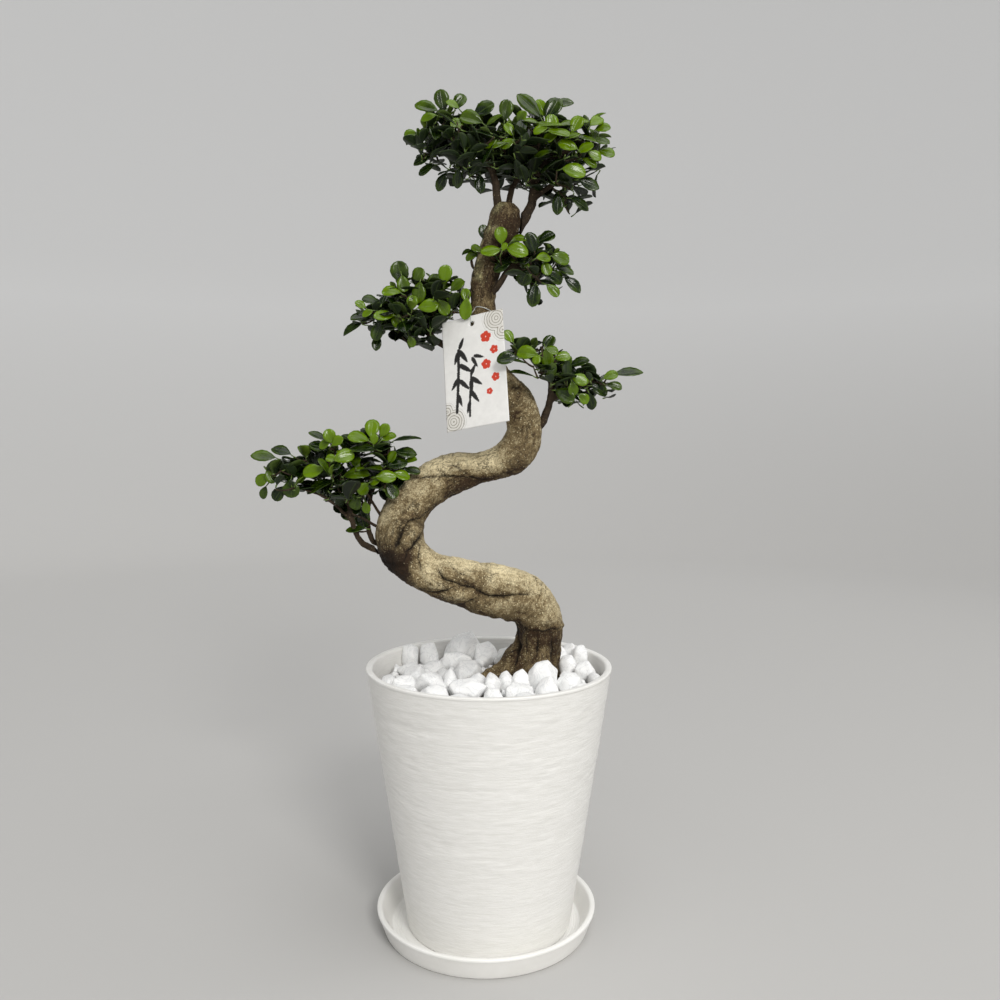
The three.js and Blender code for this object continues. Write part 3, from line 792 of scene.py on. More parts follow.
trunk = {
    "line": [                      # mm: x, y, z, radius
        (34, 22, 222, 34), (40, 22, 254, 31.5), (49, 21, 281, 26.6), (51, 17, 307, 25.8),
        (42, 9, 327, 25.8), (25, -1, 339, 25.9), (8, -9, 345, 25.6), (-10, -15, 349, 23.6),
        (-33, -20, 357, 21.5), (-56, -17, 363, 21), (-74, -10, 374, 22.5), (-87, -1, 390, 25),
        (-89, 7, 410, 23.5), (-77, 14, 432, 20.5), (-58, 19, 449, 20.3), (-36, 21, 460, 20.8),
        (-14, 20, 464, 18), (6, 15, 470, 16.6), (22, 9, 478, 19), (33, 4, 493, 18),
        (35, 0, 514, 16.4), (28, -2, 532, 15.6), (12, -3, 551, 14.4), (0, -1, 571, 13.3),
        (-5, 1, 595, 12.6), (-6, 3, 625, 12), (-4, 3, 650, 12.2), (4, 2, 676, 13.8),
        (13, 0, 697, 16), (16, 0, 713, 15.8), (16, 0, 724, 13),
    ],
    "roots": [
        [(50, 16, 289, 14), (34, 8, 273, 14), (14, 3, 259, 12), (-7, 0, 249, 9), (-24, -2, 238, 6)],
        [(50, 8, 285, 13), (49, -5, 263, 14), (46, -16, 246, 12), (43, -26, 232, 8)],
        [(56, 28, 285, 12), (60, 41, 263, 12), (65, 52, 246, 10), (70, 61, 232, 6)],
        [(44, 32, 285, 13), (34, 48, 263, 13), (22, 60, 246, 10), (12, 68, 232, 6)],
    ],
    "rings": 420,
    "sides": 48,
    "rootRings": 40,
    "rootSides": 20,
    "lobe": 0.06,                  # two strands wind round each other
    "turns": 2.6,
    "voxel": 1.32,
    "rounding": 5,
    "underside": 0.7,              # painted shade: how much darker the bark is where it faces down
    "paintedTopLight": 0.34,                # painted light: how much lighter the lower bends are where they face up
    "collar": 303,                 # mm up, where the grafted stem meets the rootstock
    "stemTop": 560,                # mm up, where the bends end
    "rootTop": 300,                # mm up, from where the strands can be told apart
    # noise: size in metres, seed and height in mm
    "lumps": [(0.026, 1, 1.6), (0.009, 2, 0.8)],
    "rootLumps": [((0.005, 0.005, 0.011), 8, 0.9), (0.003, 9, 0.45)],
    "scarLumps": [(0.0065, 10, 2.2), (0.003, 11, 1.3)],
    "valley": 6.5,                 # mm, width of the hollow along a crease
    "bank": (10, 5),               # mm, how far beside a crease its bank lies, and its width
    "step": 8,                     # mm, how far beside a crease one side stands higher
    "sawn": (716, 6),              # mm up, where the sawn top starts, and over how much
    "crown": (713, 13),            # the same for its rounding
    "front": -12,                  # mm, depth at which pixels are read
    "unrolled": 22,                # mm, radius of the bark as it is unrolled
    "lead": 0.2 / 2.1,             # how much a point's place ahead of its ring counts
    "scar": (392, 563, 15),        # pixel and radius in mm of the old cuts at the lower bend
    # pixels along each crease on the front, then depth and width in mm, and how much higher
    # the side on its left stands
    "creases": [
        ([(413, 479), (426, 477), (440, 477), (456, 478), (469, 479), (481, 482), (489, 478)],
         3.4, 1.6, 0.9),
        ([(440, 466), (453, 466), (459, 469), (465, 474), (472, 477)], 1.5, 1.5, -0.4),
        ([(431, 509), (423, 518), (410, 520), (404, 529), (397, 542), (395, 549)], 4.6, 2.1, -0.8),
        ([(424, 528), (418, 539), (408, 549), (405, 561)], 3.2, 1.7, 0.5),
        ([(421, 541), (420, 555), (424, 568)], 2, 1.3, 0.5),
        ([(439, 563), (444, 573), (455, 577), (464, 580), (474, 583), (482, 588), (489, 592),
          (506, 593), (523, 592), (532, 593)], 3.8, 1.6, 0.9),
        ([(417, 583), (426, 588), (439, 588), (450, 584), (463, 581)], 1.8, 1.2, 0.4),
        ([(455, 603), (463, 601), (472, 596), (482, 591)], 2.6, 1.4, 0.4),
        ([(448, 559), (459, 568), (473, 574)], 1.2, 1.2, 0.5),
        ([(500, 474), (512, 472), (522, 464)], 1.4, 1.3, 0.4),
        ([(437, 500), (455, 497), (474, 490)], 0.9, 1.1, 0.2),
        ([(505, 385), (516, 388), (527, 386)], 0.8, 1.0, 0.3),
        ([(508, 424), (518, 430), (531, 429)], 0.9, 1.1, 0.3),
        ([(516, 627), (516, 645), (517, 662), (514, 676)], 6.5, 2.2, 0),
        ([(537, 633), (538, 646), (536, 660)], 2.4, 1.4, 0.3),
        ([(551, 634), (554, 652), (553, 668)], 2.6, 1.4, -0.3),
        ([(526, 634), (527, 650), (524, 664)], 1.4, 1.2, 0),
        ([(518, 627), (530, 631), (545, 631), (565, 630)], 2.6, 1.2, 0.6),
    ],
    "knots": [                     # pixel, radius and height in mm
        (462, 467, 5, 1.4), (411, 531, 11, 2.6), (409, 524, 6, 0.8), (388, 558, 7, 1.8),
        (399, 566, 6, 1.6), (384, 548, 5, 1.4), (391, 570, 4, 1.2), (463, 562, 3.5, 1.1),
        (548, 623, 3, 1.2), (514, 463, 4, 1.2), (523, 458, 3.5, 1), (470, 612, 3, 1),
        (494, 617, 3, 0.9), (483, 229, 5, 1.4), (480, 257, 5, 1.6), (476, 271, 4, 1.2),
        (532, 221, 5, 1.2), (503, 641, 4, 1.2), (496, 651, 4, 1.2), (508, 632, 4, 1),
    ],
    "toneAndShadingSpots": [                    # the bark's own tone, painted shade and painted light in spots: pixel, radius in mm, how much darker (or, below 0, lighter)
        (388, 563, 17, 1.4), (404, 572, 9, 0.9), (412, 553, 8, 0.6), (478, 578, 12, 0.45),
        (460, 580, 9, 0.35), (385, 535, 10, 0.3), (470, 482, 14, 0.1),
        (515, 450, 14, 0.3), (500, 586, 10, 0.32), (516, 640, 5, 0.4), (430, 497, 12, 0.05),
        (461, 591, 12, -0.12), (520, 400, 18, 0.14), (532, 570, 14, 0.05), (436, 468, 14, -0.6),
        (462, 465, 12, -0.45), (490, 463, 12, -0.45), (505, 215, 16, 0.1), (456, 609, 10, 0.8),
        (500, 607, 12, -0.42), (402, 520, 14, 0.35), (404, 498, 14, 0.24), (425, 575, 10, -0.3),
        (490, 622, 8, 0.5), (545, 603, 10, 0.15), (470, 566, 10, -0.3), (500, 568, 12, -0.3),
        (500, 660, 12, 0.3), (450, 486, 12, 0.2),
    ],
    "moss": [                      # pixel, radius in mm
        (479, 245, 8), (475, 262, 7), (490, 228, 6), (489, 210, 5), (480, 275, 5), (498, 205, 6),
    ],
    "plain": [(461, 591, 11), (438, 578, 9)],    # smooth bark
    "tones": [                     # mm up, and how dark the bark is there
        (240, 0.58), (298, 0.58), (304, 0.34), (312, 0.14), (350, 0.1), (420, 0.2), (470, 0.14),
        (500, 0.28), (560, 0.5), (640, 0.7), (690, 0.82), (706, 0.82), (730, 0.7),
    ],
}

def lineGap(points, line):
    # how far flat points lie from a line of straight stretches, and 1 to its left or -1 to its right
    nearest, hand = np.full(len(points), np.inf), np.ones(len(points))
    for a, b in zip(line, line[1:]):
        along = b - a
        share = np.clip((points - a) @ along / max(along @ along, 1e-12), 0, 1)
        away = points - a - share[:, None] * along
        gap = np.linalg.norm(away, axis=1)
        closer = gap < nearest
        hand = np.where(closer, np.sign(along[0] * away[:, 1] - along[1] * away[:, 0]), hand)
        nearest = np.minimum(nearest, gap)
    return nearest, hand


def frontPoints(pixels):
    # pixels on the front of the trunk as flat points in mm: across and up
    found = [atPixel(u, v, trunk["front"]) / mm for u, v in pixels]
    return np.array([(p.x, p.z) for p in found])


def gapFrom(flat, u, v):
    return np.linalg.norm(flat - frontPoints([(u, v)]), axis=1)


def barkMaterial():
    look = Finish("bark", specular=0.2)
    given = look.axes(look.attribute("barkToneAndShading"))
    grain = look.grain(0.009, 0.0013, 0.8)
    cloud, fine = grain["Cloud"], grain["Grain"]
    tone = look.plus(given["X"], look.span(cloud, 0.3, 0.7, -0.22, 0.22))
    tone = look.plus(tone, look.span(fine, 0.3, 0.7, 0.32, -0.28))
    light = look.between(tone, -0.4, 0.4, (242, 226, 184), (136, 119, 86))
    tint = look.mix(look.span(tone, 0.4, 1.0), light, colour(62, 46, 31))
    mossy = look.times(given["Z"], look.span(fine, 0.35, 0.6, 0.3, 1.0))
    tint = look.mix(mossy, tint, colour(198, 192, 142))
    tint = look.mix(look.times(look.speckle(0.0029, 0.22, 0.4), 0.6), tint, colour(66, 54, 38))

    # wrinkles follow the stem round its bends, and cracks fill the places between the clouds
    run = look.stretched(look.attribute("barkRun"), (1, 1, 0.45))
    wrinkles = look.size(look.minus(look.noise(run, 95.0, 4.0, 0.62, 0.9), 0.5))
    patches = look.span(look.noise(look.place, 28.0, 2.0), 0.44, 0.56)
    wrinkles = look.times(look.span(wrinkles, 0.003, 0.02, 0.62, 0.0), patches)
    tint = look.mix(wrinkles, tint, colour(52, 40, 27))
    cells = look.add("TexVoronoi", {"Vector": look.place, "Scale": 330.0}, feature="DISTANCE_TO_EDGE")
    cracks = look.span(cells["Distance"], 0.0, 0.08, 0.36, 0.0)
    cracks = look.times(cracks, look.span(cloud, 0.42, 0.58, 1.0, 0.0))
    tint = look.mix(cracks, tint, colour(62, 48, 32))
    height = look.minus(grain["Height"], look.plus(cracks, wrinkles))

    # pale raised pores, which fade where the tone is dark, painted shade included; and painted shade in
    # the insides of creases
    for spacing, dot, share, strength in ((0.0038, 0.24, 0.6, 1.0), (0.0024, 0.26, 0.55, 0.8)):
        dots = look.speckle(spacing, dot, share)
        lit = look.times(dots, look.span(tone, 0.2, 1.25, strength, 0.0))
        tint = look.mix(lit, tint, colour(244, 230, 188))
        height = look.plus(height, look.times(dots, 0.35))
    # painted shade: creases, the rims round knots and the darkest spots go nearly black
    tint = look.mix(given["Y"], tint, colour(22, 16, 11))
    gap = look.plus(look.attribute("barkCrease", "Fac"), look.span(fine, 0.3, 0.7, -0.5, 0.5))
    look.tint(look.mix(look.span(gap, 0.35, 1.0, 0.9, 0.0), tint, colour(26, 19, 13)))
    look.rough(look.span(fine, 0.3, 0.7, 0.6, 0.85))
    look.bump(height, 0.0015)
    return look.material


def addTrunk():
    stem = curveThrough(trunk["line"], trunk["rings"])
    line, radii = stem[:, :3], stem[:, 3]
    length = np.concatenate([[0], np.cumsum(np.linalg.norm(np.diff(line, axis=0), axis=1))])
    wind = trunk["turns"] * 2 * math.pi * length / length[-1]
    swell = 1 + trunk["lobe"] * np.cos(2 * (turnsOf(trunk["sides"])[None] - wind[:, None]))
    heap = Heap()
    heap.add(*tube(line * mm, radii * mm, trunk["sides"], swell))
    for root in trunk["roots"]:
        reach = curveThrough(root, trunk["rootRings"])
        heap.add(*tube(reach[:, :3] * mm, reach[:, 3] * mm, trunk["rootSides"]))
    piece = remeshed(heap.build("trunkBark", []), barkMaterial(), trunk["voxel"], trunk["rounding"])
    points, normals = pointsOf(piece), normalsOf(piece)

    def lumps(size, seed):
        return noiseAt(points, size, seed)

    # where each point lies along the stem and round it
    nearest = np.concatenate([
        np.argmin(((part[:, None] / mm - line[None]) ** 2).sum(2), axis=1)
        for part in np.array_split(points, len(points) // 4000 + 1)
    ])
    side, up = framesAlong(line)
    away = points / mm - line[nearest]
    angle = np.arctan2((away * up[nearest]).sum(1), (away * side[nearest]).sum(1))
    along = length[nearest] + (away * np.gradient(line, axis=0)[nearest]).sum(1) * trunk["lead"]
    around = trunk["unrolled"]
    unrolled = np.stack([around * np.cos(angle), around * np.sin(angle), along], 1)
    high = points[:, 2] / mm
    flat = points[:, [0, 2]] / mm
    front = np.clip(0.55 - normals[:, 1] * 1.6, 0, 1)
    collar, stemTop = trunk["collar"], trunk["stemTop"]

    # wrinkles across the stem and streaks along it; the rootstock is rougher, with upright ridges
    relief = layered(points, trunk["lumps"])
    wrinkles = noiseAt(unrolled, (15, 15, 2.4), 3)
    streaks = noiseAt(unrolled, (3.6, 3.6, 22), 5)
    wrinkled = lumps(0.04, 4)
    fine = 1.1 * (0.25 - np.abs(wrinkles)) * np.clip(0.4 + 1.8 * wrinkled, 0, 1)
    fine += 0.9 * (0.22 - np.abs(streaks)) * np.clip(0.5 - 1.8 * wrinkled, 0, 1)
    fine += 0.5 * lumps(0.0036, 6)
    relief += fine
    ridges = 0.5 - 1.7 * np.abs(lumps((0.0085, 0.0085, 0.05), 7))
    rough = 1.5 * ridges + layered(points, trunk["rootLumps"])
    rootShare = np.clip((collar + 1 - high) / 3, 0, 1)
    relief = relief * (1 - 0.5 * rootShare) + rough * rootShare - 0.6 * rootShare

    # a winding crease at the back, where the strands meet, darkened as painted shade
    meet = np.abs(np.angle(np.exp(1j * (angle - wind[nearest] - 1.2))))
    crease = near(meet * around, 1.8) * (1 - front) * (high > trunk["rootTop"]) * (high < stemTop)
    relief -= 2.2 * crease
    paintedShade = 0.8 * crease

    # the creases and knots that show on the front; painted shade darkens the creases, their valleys and
    # the rims round the knots
    smooth = np.zeros(len(points))
    for u, v, radius in trunk["plain"]:
        smooth = np.maximum(smooth, near(gapFrom(flat, u, v), radius) * front)
    relief *= 1 - 0.7 * smooth
    wander = 1.3 * np.stack([lumps(0.007, 21), lumps(0.007, 22)], 1)
    sway = np.clip(0.8 + 0.9 * lumps(0.011, 23), 0.3, 1.4)
    shadeNear, creaseGap = np.zeros(len(points)), np.full(len(points), 60.0)
    bankAway, bankWidth = trunk["bank"]
    for pixels, depth, width, step in trunk["creases"]:
        path = frontPoints(pixels)
        gap, hand = lineGap(flat + wander, path)
        ends = np.minimum(np.linalg.norm(flat - path[0], axis=1), np.linalg.norm(flat - path[-1], axis=1))
        fade = np.clip(0.25 + ends / 12, 0, 1) * front
        cut = near(gap / width, sway) * fade * sway
        valley = near(gap, trunk["valley"]) * fade
        relief -= depth * (0.5 * cut + 0.45 * valley)
        relief += depth * 0.22 * near(gap - bankAway, bankWidth) * fade
        relief += step * hand * np.tanh(gap) * near(gap, trunk["step"]) * fade
        paintedShade = np.maximum(paintedShade, cut ** 1.3 * min(0.9, 0.38 + 0.15 * depth))
        shadeNear += 0.1 * min(depth, 3) * valley
        creaseGap = np.minimum(creaseGap, gap / np.clip(fade * min(1, depth / 2.5), 0.02, 1))
    for u, v, radius, height in trunk["knots"]:
        gap = gapFrom(flat, u, v)
        relief += height * near(gap, radius) * front
        paintedShade = np.maximum(paintedShade, 0.4 * near(gap - radius, 1.3) * front * (height > 1.1))
    relief += 1.3 * near(high - collar - 2.5, 2.6) * (1 + lumps(0.012, 12))

    # the old cuts at the lower bend and at the top stand rough
    u, v, radius = trunk["scar"]
    relief += near(gapFrom(flat, u, v), radius) * front * layered(points, trunk["scarLumps"])
    start, reach = trunk["sawn"]
    relief += np.clip((high - start) / reach, 0, 1) * (0.7 * lumps(0.004, 13) - 0.4)

    # how dark the bark is, and where it is mossy; it is darker in the hollows of the fine relief, with
    # painted shade where it faces down and painted light where the lower bends face up
    tone = np.interp(high + 1.5 * lumps(0.01, 14), *zip(*trunk["tones"]))
    tone += np.clip(-0.55 * fine, -0.2, 0.4) + 0.12 * lumps(0.016, 16)
    # painted shade on bark that faces down, painted light on the lower bends where they face up
    tone += trunk["underside"] * np.clip(-normals[:, 2] + 0.05, 0, 1) * (1 - 0.6 * smooth)
    tone -= trunk["paintedTopLight"] * np.clip(normals[:, 2] - 0.05, 0, 1) * (high > collar) * (high < stemTop)
    # spots of the bark's own tone, of painted shade and of painted light; the darkest also go into the
    # painted shade
    for u, v, radius, change in trunk["toneAndShadingSpots"]:
        spot = near(gapFrom(flat, u, v), radius) * front
        tone += change * spot
        paintedShade = np.maximum(paintedShade, (change - 0.45) * spot)
    tone += shadeNear - 0.08 * smooth
    moss = np.zeros(len(points))
    for u, v, radius in trunk["moss"]:
        moss = np.maximum(moss, near(gapFrom(flat, u, v), radius) * front)
    moss *= np.clip(0.65 + 1.6 * lumps(0.006, 15), 0, 1)

    # the top is rounded inward round the middle of the stem
    points = points + normals * (relief * mm)[:, None]
    start, reach = trunk["crown"]
    crown = np.sqrt(1 - np.clip((points[:, 2] / mm - start) / reach, 0, 0.95) ** 3)
    axis = trunk["line"][-1][0] * mm
    points[:, 0] = axis + (points[:, 0] - axis) * crown
    points[:, 1] *= crown
    movePoints(piece, points)
    setValues(piece, "barkRun", unrolled * mm)
    setValues(piece, "barkCrease", np.stack([creaseGap] * 3, 1))
    setValues(piece, "barkToneAndShading", np.stack([tone, np.clip(paintedShade, 0, 0.85), moss], 1))
    finished(piece, "bark", "trunk")


addTrunk()
print("trunk grown")

# Branches: dark limbs from the frame, and fine twigs that carry the leaves

branch = {
    "voxel": 1.0,
    "rounding": 4,
    "thinner": {"branch_low_left": 1.3, "branch_low_left_rear": 0.9, "branch_mid_left": 0.8},    # mm
    "thinnerElse": 0.5,
    "lumps": [(0.008, 1, 0.5), (0.0032, 2, 0.28)],    # size in metres, seed and height in mm
    "rings": (0.02, 0.02, 0.0022),    # metres, size of the rings round a limb
    "sink": 7,                     # mm, how far the top limbs reach into the trunk
    "sinkHeight": 14,              # mm, of each top limb's foot that sinks
}
twig = {
    "base": 1.1,                   # mm, radius
    "tip": 0.65,
    "sag": 0.16,                   # share of its length
    "wander": 0.12,                # share of its length
    "down": 0.35,                  # how much harder a way down is than a way up
    "shortest": 1.5,               # mm
    "shootRadii": (1.9, 1.1),      # mm
    "seed": 4,                     # of noise_vector, which takes it from the clock otherwise
}


def twigMaterial():
    look = Finish("twigBark", 0.75, 0.25)
    height = look.grain(0.007, 0.0011, 0.7)["Height"]
    tint = look.between(height, 0.5, 1.1, (26, 19, 14), (70, 57, 41))
    dots = look.times(look.speckle(0.0028, 0.24, 0.5), 0.6)
    look.tint(look.mix(dots, tint, colour(138, 122, 92)))
    look.bump(height, 0.0008, 0.8)
    return look.material


twigBark = twigMaterial()


def addBranches():
    for name in sorted(name for name in cadNodes if name.startswith("branch_")):
        piece = addObject(name.replace("branch", "limb"), cadNodes[name].data.copy())
        remeshed(piece, twigBark, branch["voxel"], branch["rounding"])
        points, normals = pointsOf(piece), normalsOf(piece)
        relief = layered(points, branch["lumps"])
        relief += 0.3 * (0.25 - np.abs(noiseAt(points, branch["rings"], 3)))
        relief -= branch["thinner"].get(name, branch["thinnerElse"])
        points = points + normals * (relief * mm)[:, None]
        if name.startswith("branch_top"):
            above = points[:, 2] - points[:, 2].min()
            points[:, 2] -= np.clip(1 - above / branch["sinkHeight"] / mm, 0, 1) * branch["sink"] * mm
        movePoints(piece, points)
        finished(piece, "branch_bark", name)


addBranches()
print("branches grown")

# Leaves: thick, glossy and nearly round, on short stalks round each shoot

leaf = {
    "rows": 8,
    "columns": 5,
    "widest": 0.58,                # share of the length at which the blade is widest
    "fold": 0.3,                   # how far the sides rise from the midrib
    "curl": 0.14,
    "thick": 0.5,                  # mm
    "stalk": 6,                    # mm
    "sag": 0.12,                   # of the stalk, as a share of its length
    "swell": 1.08,                 # of the leaves that are placed one by one
    "golden": math.radians(137.5),
}
shoot = {
    "tries": 2600,
    "hanging": (-0.35, 0.85),      # how far down a spot faces, and the share of such spots left out
    "inside": 13,                  # mm, how far inside the head's skin a shoot ends
    "deeper": 27,                  # mm, the same for the shoots deep inside
    "sparser": 1.7,                # the spacing of those against the others'
    "shaded": 0.5,                 # painted shade: how much darker their leaves are, as a tone
    "shadeDepth": 26,              # mm below the head's middle, where outer leaves take nearly as much painted shade
    "outward": 0.6,                # of its direction: out of the head, up, and at random
    "upward": 0.8,
    "random": 0.22,
    "leaves": (5, 8),              # from the first number to one below the second
    # of the youngest leaf, and how much more of the oldest
    "lengths": (10, 12),           # mm
    "opening": (22, 66),           # degrees from the shoot
    "below": (2, 7),               # mm from the shoot's end
    "stalks": (0.4, 0.5),          # share of a full stalk
    # how much a leaf may stand out of the outline before it is moved, and left out, in pixels
    "standsOut": (2, 3.5),
    "clear": (0.62, 5),            # pixels for each mm of length, and mm, round a placed leaf
    "foot": 5,                     # mm from the shoot's end, where its twig comes
}


def unit(vector):
    return vector / max(np.linalg.norm(vector), 1e-9)


def leafGrid(tip):
    # the blade's points as shares of its length and half width, and the faces of its closed shell;
    # a tip of 0.5 is round, and a higher one is pointed
    rows, columns, widest = leaf["rows"], leaf["columns"], leaf["widest"]
    along = 0.5 - 0.5 * np.cos(np.linspace(0, math.pi, rows))
    before = np.sin(np.clip(along / widest, 0, 1) * math.pi / 2) ** 0.85
    beyond = np.clip(1 - ((along - widest) / (1 - widest)) ** 2, 0, 1) ** tip
    width = np.maximum(np.where(along < widest, before, beyond), 0.05)
    along, across = np.meshgrid(along, np.linspace(-1, 1, columns), indexing="ij")
    half = across * width[:, None]
    number = np.arange(rows * columns).reshape(rows, columns)
    faces, slots = [], []
    for a in number[:-1, :-1].ravel().tolist():
        quad = (a, a + columns, a + columns + 1, a + 1)
        faces += [quad, tuple(k + number.size for k in (quad[0], *quad[:0:-1]))]
        slots += [0, 1]
    around = (number[:, 0], number[-1, 1:], number[-2::-1, -1], number[0, -2:0:-1])
    edge = np.concatenate(around).tolist()
    for a, b in zip(edge, edge[1:] + edge[:1]):
        faces.append((b, a, a + number.size, b + number.size))
        slots.append(1)
    return along.ravel(), across.ravel(), half.ravel(), faces, slots


roundBlade, pointedBlade = leafGrid(0.5), leafGrid(0.66)


def addLeaf(heap, base, ahead, normal, length, width, tone, rng):
    # base is where the blade starts, ahead points to its tip and normal is its upper face
    along, across, half, faces, slots = roundBlade if width > 0.6 * length else pointedBlade
    ahead = unit(ahead)
    normal = unit(normal - ahead * (normal @ ahead))
    side = np.cross(normal, ahead)
    fold = leaf["fold"] * rng.uniform(0.3, 1.5)
    curl = leaf["curl"] * rng.uniform(-0.4, 1.6)
    twist = rng.uniform(-0.25, 0.25)
    x, y = along * length, half * width / 2
    z = fold * np.abs(y) - curl * length * along ** 2 + twist * y * along
    z += 0.03 * width * np.sin(along * 7 + across * 2 + rng.uniform(0, 6))
    thick = leaf["thick"] * (0.35 + 0.65 * (1 - across ** 2))
    points = np.vstack([
        np.stack([x, y, z - drop], 1) @ np.array((ahead, side, normal)) for drop in (0, thick)
    ]) * mm + base
    value = np.stack([np.tile(across, 2), np.tile(along, 2), np.full(2 * len(along), tone)], 1)
    heap.add(points, faces, value, slots)


def addStalk(heap, start, end, thick, tone):
    bend = (start + end) / 2 - np.array((0, 0, leaf["sag"])) * np.linalg.norm(end - start)
    line = bowed(start, bend, end, 3)
    heap.add(*tube(line, np.array((1.2, 1, 0.8)) * thick * mm, 5), (0, 0.5, tone), 2)


